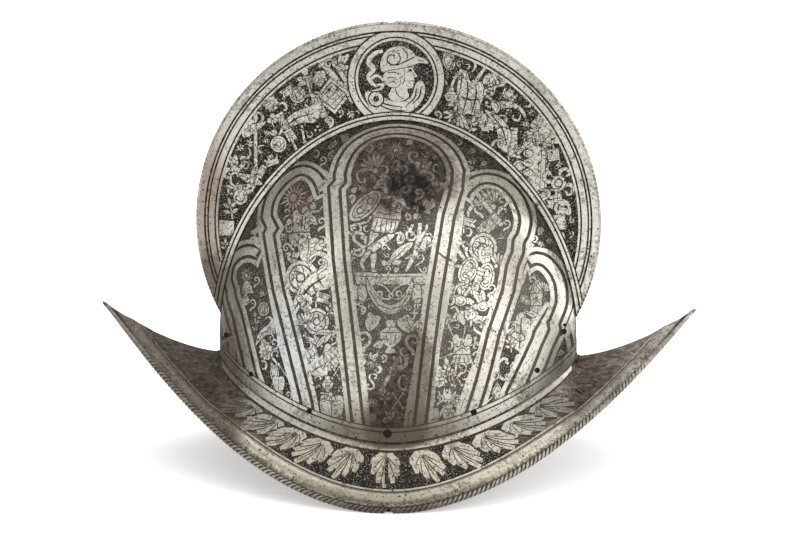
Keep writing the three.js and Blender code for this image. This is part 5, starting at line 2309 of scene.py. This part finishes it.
@dataclass(frozen=True)
class BrightSteel(Finish):
    """The steel left standing: warm, rubbed in patches, faintly hammered, with small dark pits; a painted
    blue-grey reflection lies on the skull's side towards the back, and painted shade darkens it low down and
    round the back end.
    """

    def engraving(self, g: Graph) -> Term | None:
        """Returns where the surface is engraved with fine dark lines, or None where it is plain."""
        return None

    def write(self, g: Graph) -> None:
        """Writes the material's nodes.

        Args:
            g: the graph to write in.
        """
        wide, fine, grain = g.noise(22, 3, 0.55), g.noise(420, 4, 0.7), g.noise(900, 2, 0.6)
        tone = g.mix(wide.ramp(0.35, 0.65), (0.49, 0.47, 0.41), (0.63, 0.615, 0.565))
        # painted reflection: a blue-grey sheen on the skull's side towards the back
        tone = g.mix(g.spot((-58, 84), (22, 40), 0.9) * 0.7, tone, (0.45, 0.485, 0.50))
        tone = g.mix(g.z.ramp(48, 24) * 0.6, tone, (0.50, 0.45, 0.33))
        tone = g.mix(grain.ramp(0.5, 0.68) * 0.5, tone, (0.74, 0.72, 0.66))
        # real wear here: darker rubbed patches
        wear_and_sheen = (fine + (g.noise(48, 3) - 0.5) * 0.6).ramp(0.47, 0.72)
        tone = g.mix(wear_and_sheen * 0.8, tone, (0.19, 0.165, 0.13))
        tone = g.mix(g.noise(760, 3, 0.75).ramp(0.52, 0.74) * 0.55, tone, (0.15, 0.13, 0.10))
        pit = (g.cells(520) < 0.2) * (g.noise(95, 2) > 0.44)
        pit = pit.maximum((g.cells(240) < 0.13) * (g.noise(60, 2) > 0.44))
        lines = self.engraving(g)
        if lines is not None:
            tone = g.mix(lines * (0.95 - g.deep(100, 500) * 0.25), tone, (0.045, 0.038, 0.03))
        tone = g.mix((g.spot((-114, 156), (20, 50), 1.0) * (0.4 + wide * 0.9)).minimum(0.85), tone,
                     (0.27, 0.20, 0.165))
        brown, black = self.patina(g)
        gutter = g.rim_gap().ramp(6.6, 4.0) * (fine + wide * 0.7).ramp(0.62, 0.92)
        tone = g.mix(gutter * 0.8, tone, (0.12, 0.095, 0.062))
        # painted shade: darker low on the sides, near the floor and round the back end
        tone = g.mix(self.painted_shade(g), tone, (0.09, 0.075, 0.055))
        tone = g.mix(brown * 0.8, tone, (0.085, 0.062, 0.045))
        tone = g.mix(black * 0.94, tone, (0.009, 0.009, 0.010))
        rust = g.spot((-57, 163), (10, 9), 1.0) * g.noise(180, 3).ramp(0.42, 0.6) * 0.6
        tone = g.mix(rust, tone, (0.26, 0.15, 0.09))
        tone = g.mix(pit * 0.88, tone, (0.022, 0.018, 0.014))
        crack = g.size((g.x - 29.8) * 0.56 + (g.z - 136.8) * 0.83 + (g.noise(160, 2) - 0.5) * 2.4)
        crack = (crack < 0.6) * ((g.x > 25.8) * (g.x < 34)) * (g.y < 0)
        tone = g.mix(crack * 0.85, tone, (0.04, 0.035, 0.03))
        rough = 0.37 + (wide - 0.5) * 0.12 + wear_and_sheen * 0.2 + brown * 0.22 + pit * 0.3
        height = g.noise(46, 2, 0.5) + grain * 0.02 - pit * 0.05 - wear_and_sheen * 0.03
        g.finish(Base_Color=tone, Roughness=rough.minimum(0.85), Metallic=1.0 - brown * 0.5 - black * 0.6,
                 Normal=g.bump(height, 0.6, 0.0011))
        g.shader.inputs["Specular IOR Level"].default_value = 0.15


@dataclass(frozen=True)
class FiguredSteel(BrightSteel):
    """The steel of the etched figures, covered with fine curling lines."""

    def engraving(self, g: Graph) -> Term | None:
        """Gives where the fine lines run.

        Args:
            g: the graph to write in.
        Returns:
            The mask of the lines.
        """
        out = None
        for scale, seed in ((210, (0.0, 0.0, 0.0)), (290, (0.31, 0.17, 0.23))):
            swirl = g.noise(scale, 0, 0.5, 0.6, g.shifted("ADD", seed))
            line = g.size(swirl - 0.5).ramp(0.025, 0.011)
            out = line if out is None else out.maximum(line)
        return out.maximum(g.brim_field() * 0.6)


@dataclass(frozen=True)
class EtchedGround(Finish):
    """The etched ground: near black, sown with small bright dots; a painted sheen lightens it on the skull's
    sides and painted shade darkens it low down.
    """

    def write(self, g: Graph) -> None:
        """Writes the material's nodes.

        Args:
            g: the graph to write in.
        """
        fine = g.noise(330, 3, 0.7)
        base = g.mix(fine, (0.002, 0.0018, 0.0015), (0.022, 0.018, 0.014))
        # painted sheen: the ground lighter on the skull's sides, most towards the front end, not on the comb
        # or the brim
        wear_and_sheen = g.deep(300, 2400) * (g.x.ramp(-90, 60) * 0.65 + 0.35)
        wear_and_sheen = wear_and_sheen * g.rim_gap().ramp(*BRIM_GAP[::-1])
        base = g.mix(wear_and_sheen * 0.6, base, (0.13, 0.115, 0.097))
        dot = g.cells(1120).ramp(0.38, 0.23) * (g.noise(230, 3, 0.7).ramp(0.30, 0.60) * 0.85 + 0.1)
        brown, black = self.patina(g)
        brim = g.brim_field()
        tone = g.mix(dot, base, (0.38, 0.36, 0.315))
        streaks = g.noise(300, 4, 0.65, 0.4, g.shifted("MULTIPLY", (0.22, 1.0, 1.6)))
        lit = (g.z.ramp(40, 84) + g.x.ramp(-60, -105) * 0.35).minimum(1.0)
        brim_tone = g.mix(streaks.ramp(0.36, 0.66), g.mix(lit, (0.06, 0.045, 0.036), (0.20, 0.17, 0.15)),
                       g.mix(lit, (0.30, 0.235, 0.185), (0.56, 0.50, 0.45)))
        tone = g.mix(brim * 0.92, tone, brim_tone)
        tone = g.mix(brown * 0.85, tone,
                     g.mix(fine.ramp(0.35, 0.7), (0.008, 0.006, 0.0045), (0.085, 0.063, 0.047)))
        tone = g.mix(black, tone, (0.003, 0.003, 0.004))
        # painted shade: the ground darker low down and round the back end
        tone = g.mix(self.painted_shade(g) * 0.6, tone, (0.008, 0.006, 0.005))
        tone = g.mix(g.spot((-57, 163), (11, 11), 1.0) * g.noise(180, 3).ramp(0.4, 0.6) * 0.7, tone,
                     (0.17, 0.085, 0.045))
        shine = (dot * (1.0 - brown) * (1.0 - black)).maximum(brim * 0.5)
        g.finish(Base_Color=tone, Roughness=0.52 - dot * 0.14, Metallic=shine * 0.85,
                 Normal=g.bump(dot * 0.5 + fine * 0.5, 0.5, 0.0003))
        g.shader.inputs["Specular IOR Level"].default_value = 0.12


@dataclass(frozen=True)
class EtchedLine(Finish):
    """Plain etched lines and grooves: brown-black, mottled, lightened by a painted sheen on the skull's sides
    towards the front end.
    """

    def write(self, g: Graph) -> None:
        """Writes the material's nodes.

        Args:
            g: the graph to write in.
        """
        fine = g.noise(330, 3, 0.7)
        skull = g.deep(100, 500)
        tone = g.mix(skull, (0.006, 0.005, 0.004), (0.034, 0.026, 0.019))
        # painted sheen: the lines lighter on the skull's sides towards the front end
        wear_and_sheen = g.deep(300, 2400) * g.x.ramp(-90, 60) * g.rim_gap().ramp(*BRIM_GAP[::-1])
        tone = g.mix(wear_and_sheen * 0.7, tone, (0.115, 0.092, 0.072))
        tone = g.mix(fine.ramp(0.42, 0.72), tone, (0.10, 0.08, 0.062))
        brown, _ = self.patina(g)
        tone = g.mix(brown * 0.7, tone, (0.03, 0.021, 0.015))
        g.finish(Base_Color=tone, Roughness=0.6, Metallic=0.2)
        g.shader.inputs["Specular IOR Level"].default_value = 0.12


@dataclass(frozen=True)
class RopedSteel(Finish):
    """The turned, roped edges: bright on the strands, dark in the cuts, with painted shade low down and near
    the floor.
    """

    def write(self, g: Graph) -> None:
        """Writes the material's nodes.

        Args:
            g: the graph to write in.
        """
        fine = g.noise(420, 4, 0.65)
        tone = g.mix(fine.ramp(0.4, 0.66), (0.46, 0.43, 0.37), (0.24, 0.21, 0.17))
        brown, _ = self.patina(g)
        # painted shade low down, mixed with the patina's brown
        tone = g.mix(self.painted_shade(g).maximum(brown * 0.7), tone, (0.10, 0.08, 0.06))
        # painted shade: the rim's rope darker where it lies nearest the floor
        tone = g.mix(g.z.ramp(9, 1) * 0.75, tone, (0.06, 0.047, 0.035))
        cut = g.node("ShaderNodeAttribute", {"attribute_name": CUT}, {}, "Fac")
        cut = cut * (g.noise(52, 2).ramp(0.40, 0.56) * 0.6 + 0.4) * (1.0 - g.z.ramp(100, 124) * 0.5)
        tone = g.mix((cut + (fine - 0.5) * 0.6).ramp(0.16, 0.5) * 0.95, tone, (0.018, 0.014, 0.011))
        g.finish(Base_Color=tone, Roughness=0.38 + fine * 0.12, Metallic=1.0 - cut * 0.6,
                 Normal=g.bump(fine, 0.3, 0.0004))


@dataclass(frozen=True)
class InsideSteel(Finish):
    """The inside and underside: dark, hammered, dull steel."""

    def write(self, g: Graph) -> None:
        """Writes the material's nodes.

        Args:
            g: the graph to write in.
        """
        wide, fine = g.noise(30, 4, 0.6), g.noise(300, 3, 0.7)
        tone = g.mix(wide, (0.15, 0.12, 0.10), (0.30, 0.27, 0.23))
        tone = g.mix(fine.ramp(0.5, 0.7) * 0.6, tone, (0.08, 0.055, 0.04))
        hammer = g.cells(62)
        g.finish(Base_Color=tone, Roughness=0.52, Metallic=0.85,
                 Normal=g.bump(hammer * 0.8 + fine * 0.1, 0.35, 0.0012))


@dataclass(frozen=True)
class HoleShade(Finish):
    """Painted shade: the near-black walls of the rivet holes and the sheet that closes each one."""

    def write(self, g: Graph) -> None:
        """Writes the material's nodes."""
        g.finish(Base_Color=(0.008, 0.007, 0.006), Roughness=0.9, Metallic=0.0)


@dataclass(frozen=True)
class Pale(Finish):
    """The studio's pale floor."""

    def write(self, g: Graph) -> None:
        """Writes the material's nodes."""
        g.finish(Base_Color=(0.93, 0.93, 0.93), Roughness=0.9, Metallic=0.0, Emission_Color=(1.0, 1.0, 1.0),
                 Emission_Strength=0.34)


BRIGHT = BrightSteel("bright_steel", Slot.BRIGHT)
GROUND = EtchedGround("etched_ground", Slot.ETCHED)
ROPED = RopedSteel("roped_steel", Slot.ROPED)
INSIDE = InsideSteel("inside_steel", Slot.INSIDE)
# painted shade for the rivet holes
HOLE = HoleShade("hole_shade", Slot.INSIDE)
FIGURED = FiguredSteel("figured_steel", Slot.BRIGHT)
LINED = EtchedLine("etched_line", Slot.ETCHED)
ETCHED = {Tone.DARK: GROUND, Tone.BAND: BRIGHT, Tone.FIGURE: FIGURED, Tone.LINE: LINED}
PLAIN = {Tone.DARK: INSIDE}


# ---------------------------------------------------------------- the helmet


@dataclass
class Helmet:
    """The whole helmet: outer skins with their drawings, the inner face, ropes, peaks and rivet holes.

    Args:
        plate: the steel's thickness.
        near_holes: rivet holes of the near side: x, z and radius.
        far_holes: rivet holes of the far side.
    """

    plate: float = 1.4
    near_holes: tuple = ((-99.6, 79.2, 1.6), (-82.4, 62.2, 1.6), (-46.6, 47.5, 1.6), (-1.4, 37.9, 2.5),
                         (47.1, 48.0, 1.8), (82.7, 66.6, 1.6), (97.8, 84.3, 1.7), (98.2, 88.0, 1.0))
    far_holes: tuple = ((-99, 77, 1.6), (-81, 62, 1.6), (-46, 47.5, 1.6), (0, 38.5, 1.8), (46, 47.5, 1.6),
                        (81, 62, 1.6), (99, 77, 1.6))

    def seen_holes(self, side: Side, surface: BowlSurface) -> tuple:
        """Gives the holes' centres in the drawing plane, on the outer or the inner face.

        Args:
            side: the helmet's side.
            surface: the face that the holes are in.
        Returns:
            Each hole's centre and radius.
        """
        holes = np.array(self.near_holes if side is Side.NEAR else self.far_holes)
        points, normals = BowlSurface().place(holes[:, :2])
        if surface.outward < 0:
            points = points - normals * self.plate
        centres = surface.seen(points[:, [0, 2]])
        return tuple((*c, r) for c, r in zip(centres, holes[:, 2]))

    def build_bowl(self) -> None:
        """Builds the skull and comb, outside and inside."""
        drawing = BowlDrawing()
        sketch = drawing.draw()
        outline, steiner = drawing.outline(), drawing.steiner()
        inner_surface = BowlSurface(HelmetForm(inset=self.plate), -1)
        inner = BowlDrawing(inner_surface)
        for side in Side:
            label = side.name.lower()
            outer_holes = self.seen_holes(side, drawing.surface)
            ReliefSkin(f"bowl_{label}", drawing.surface, outline, sketch, outer_holes, steiner
                       ).build(side, ETCHED)
            inner_holes = self.seen_holes(side, inner_surface)
            ReliefSkin(f"bowl_inside_{label}", inner_surface, inner.outline(), Sketch(), inner_holes,
                       inner.steiner()[::2]).build(side, PLAIN)
            self.hole_walls(side, outer_holes, inner_surface, inner_holes)
        self.close_keel("keel", drawing.surface, outline, BRIGHT)
        self.close_keel("inner_keel", inner_surface, inner.outline(), INSIDE)

    def hole_walls(self, side: Side, outer: tuple, inner_surface: BowlSurface, inner: tuple) -> None:
        """Builds the short walls of the rivet holes and the sheet that closes each at the inner face, all in
        painted shade.

        Args:
            side: the helmet's side.
            outer: the holes in the outer face.
            inner_surface: the inner face.
            inner: the holes in the inner face.
        """
        surface = BowlSurface()
        for i, (a, b) in enumerate(zip(outer, inner)):
            sign = np.array([1, -side.value, 1])
            top, _ = surface.place(surface.locate(oval(*a, n=HOLE_POINTS)))
            low, _ = inner_surface.place(inner_surface.locate(oval(*b, n=HOLE_POINTS)))
            closed = np.repeat(low.mean(0, keepdims=True), HOLE_POINTS, axis=0)
            rings = np.stack([top * sign, low * sign, (low * 0.98 + closed * 0.02) * sign, closed * sign])
            grid_piece(f"rivet_hole_{side.name.lower()}_{i}", rings, HOLE, True)

    def close_keel(self, name: str, surface: BowlSurface, outline: Array, finish: Finish) -> None:
        """Builds the narrow faces that close a face's outer edge in the middle plane.

        Args:
            name: the pieces' name.
            surface: the face whose edge is closed.
            outline: the face's limit in the drawing plane.
            finish: the pieces' finish.
        """
        natural = surface.locate(outline)
        points, _ = surface.place(natural[natural[:, 1] >= 64.5])
        points = points[points[:, 1] > -6] * np.array([1 - surface.form.inset * 0.006, 1, 1])
        ends = points[[0, -1]] - np.array([0, 0, 3])
        points = np.vstack([ends[:1], points, ends[1:]])
        for side in Side:
            rim = points * np.array([1, -side.value, 1])
            grid_piece(f"{name}_{side.name.lower()}", np.stack([rim, rim * np.array([1, 0, 1])]), finish,
                       False)

    def close_lip(self, side: Side, under: BrimSurface) -> None:
        """Builds the turned lip inside, between the skull's inner face and the brim's underside.

        Args:
            side: the helmet's side.
            under: the brim's underside.
        """
        inner = BowlSurface(HelmetForm(inset=self.plate), -1)
        across = np.sin(np.radians(np.linspace(-90, 90, 121)))
        x = inner.form.half_length * across
        top, _ = inner.place(np.c_[(x - self.plate * across), inner.form.base_z(x) + 0.3])
        low, _ = under.place(np.c_[x * 0.9999, under.form.brim_inner(x * 0.9999) + 0.1])
        middle = np.array([1, 0, 1])
        rings = np.stack([np.vstack([row[0] * middle, row, row[-1] * middle]) for row in (top, low)])
        grid_piece(f"lip_{side.name.lower()}", rings * np.array([1, -side.value, 1]), INSIDE, False)

    def build_brim(self) -> None:
        """Builds the brim, above and below."""
        drawing = BrimDrawing()
        sketch = drawing.draw()
        outline, steiner = drawing.outline(), drawing.steiner()
        under = BrimSurface(drop=self.plate, outward=-1, moulding=(4.6, 12.4, 1.0))
        for side in Side:
            label = side.name.lower()
            ReliefSkin(f"brim_{label}", drawing.surface, outline, sketch, (), steiner, 0.16
                       ).build(side, ETCHED)
            ReliefSkin(f"brim_under_{label}", under, outline, Sketch(), (), steiner[::3]).build(side, PLAIN)
            self.close_lip(side, under)

    def build_seam(self, side: Side) -> None:
        """Builds the dark line chased where the skull turns out into the brim.

        Args:
            side: the helmet's side.
        """
        surface = BowlSurface()
        x = surface.form.half_length * np.sin(np.radians(np.linspace(-89, 89, 220)))
        points, normals = surface.place(np.c_[x, surface.form.base_z(x) + 0.1])
        ends = points[[0, -1]] * np.array([1, 0, 1])
        points = np.vstack([ends[:1], points, ends[1:]])
        normals = np.vstack([[-1.0, 0.0, 0.0], normals, [1.0, 0.0, 0.0]])
        sign = np.array([1, -side.value, 1])
        rings, _ = Rope(0.62, 3.0, 0.0, 8, 3).rings(points * sign, normals * sign, 1)
        grid_piece(f"seam_{side.name.lower()}", rings, GROUND, True, True)

    def build(self) -> None:
        """Builds everything."""
        self.build_bowl()
        self.build_brim()
        for side in Side:
            self.build_seam(side)
        edges = Edges()
        for side in Side:
            edges.build_rim(side, ROPED)
        edges.build_comb(ROPED)
        edges.build_tips(BRIGHT)


# ---------------------------------------------------------------- studio


@dataclass
class Studio:
    """The pale floor, soft lights and camera.

    Args:
        camera_turn: how far the camera stands round from the side.
        camera_aim: the point it looks at, in millimetres.
        camera_distance: how far it stands from that point.
        camera_lens: its focal length on a sensor 36 mm wide.
    """

    camera_turn: float = math.radians(3.0)
    camera_aim: tuple[float, float, float] = (1.2, 0.0, 116.1)
    camera_distance: float = 1800.0
    camera_lens: float = 137.7

    def build_floor(self) -> None:
        """Builds the floor, swept up behind into a backdrop."""
        profile = [(-6.0, 0.0), (5.0, 0.0)] + [(5.0 + 1.4 * math.sin(a), 1.4 - 1.4 * math.cos(a))
                                               for a in np.linspace(0.1, math.pi / 2, 12)] + [(6.4, 6.0)]
        bm = bmesh.new()
        rows = [[bm.verts.new((x, y, z)) for x in (-7.0, 7.0)] for y, z in profile]
        for a, b in zip(rows, rows[1:]):
            bm.faces.new((a[0], a[1], b[1], b[0]))
        for f in bm.faces:
            f.smooth = True
        mesh = bpy.data.meshes.new("floor")
        bm.to_mesh(mesh)
        bm.free()
        mesh.materials.append(Pale("pale_floor", Slot.BRIGHT).material())
        floor = bpy.data.objects.new("floor", mesh)
        bpy.context.scene.collection.objects.link(floor)

    def area(self, name: str, place: tuple, aim: tuple, size: tuple[float, float], power: float,
             colour: tuple[float, float, float] = (1, 1, 1)) -> None:
        """Adds a rectangular soft light.

        Args:
            name: the light's name.
            place: where it stands.
            aim: the point it faces.
            size: its width and height.
            power: its power in watts.
            colour: its colour.
        """
        light = bpy.data.lights.new(name, "AREA")
        light.shape, light.energy, light.color = "RECTANGLE", power, colour
        light.size, light.size_y = size
        lamp = bpy.data.objects.new(name, light)
        lamp.location = place
        lamp.rotation_euler = (Vector(aim) - Vector(place)).to_track_quat("-Z", "Y").to_euler()
        bpy.context.scene.collection.objects.link(lamp)

    def build_lights(self) -> None:
        """Adds the soft lights and the even surroundings."""
        self.area("front", (0.4, -1.9, 2.0), (0, 0, 0.12), (2.6, 1.6), 21, (1.0, 0.985, 0.96))
        self.area("right", (1.7, -1.0, 0.7), (0, 0, 0.12), (0.9, 1.6), 13)
        self.area("edge", (2.1, 1.3, 0.9), (0, 0, 0.12), (1.2, 1.6), 26)
        self.area("left", (-1.9, -1.2, 0.9), (0, 0, 0.12), (0.9, 1.4), 9)
        self.area("top", (0, 0.1, 2.4), (0, 0, 0.1), (2.4, 2.0), 22)
        world = bpy.data.worlds.new("studio")
        world.use_nodes = True
        world.node_tree.nodes["Background"].inputs[0].default_value = (0.95, 0.95, 0.95, 1)
        world.node_tree.nodes["Background"].inputs[1].default_value = 0.6
        bpy.context.scene.world = world

    def build_camera(self) -> None:
        """Adds the camera."""
        camera = bpy.data.cameras.new("camera")
        camera.lens, camera.sensor_width = self.camera_lens, 36.0
        camera.clip_end = 50
        obj = bpy.data.objects.new("camera", camera)
        turn = self.camera_turn
        back = Vector((math.sin(turn) * SEEN_COS, -math.cos(turn) * SEEN_COS, SEEN_SIN))
        aim = Vector(self.camera_aim) * MM
        obj.location = aim + back * self.camera_distance * MM
        obj.rotation_euler = (-back).to_track_quat("-Z", "Y").to_euler()
        bpy.context.scene.collection.objects.link(obj)
        bpy.context.scene.camera = obj

    def build(self) -> None:
        """Builds everything."""
        self.build_floor()
        self.build_lights()
        self.build_camera()
        bpy.context.scene.view_settings.view_transform = "Standard"


def main() -> None:
    """Builds the helmet's looks and the studio."""
    logging.basicConfig(level=logging.INFO, format="%(message)s")
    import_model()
    Helmet().build()
    Studio().build()


if __name__ == "__main__":
    main()
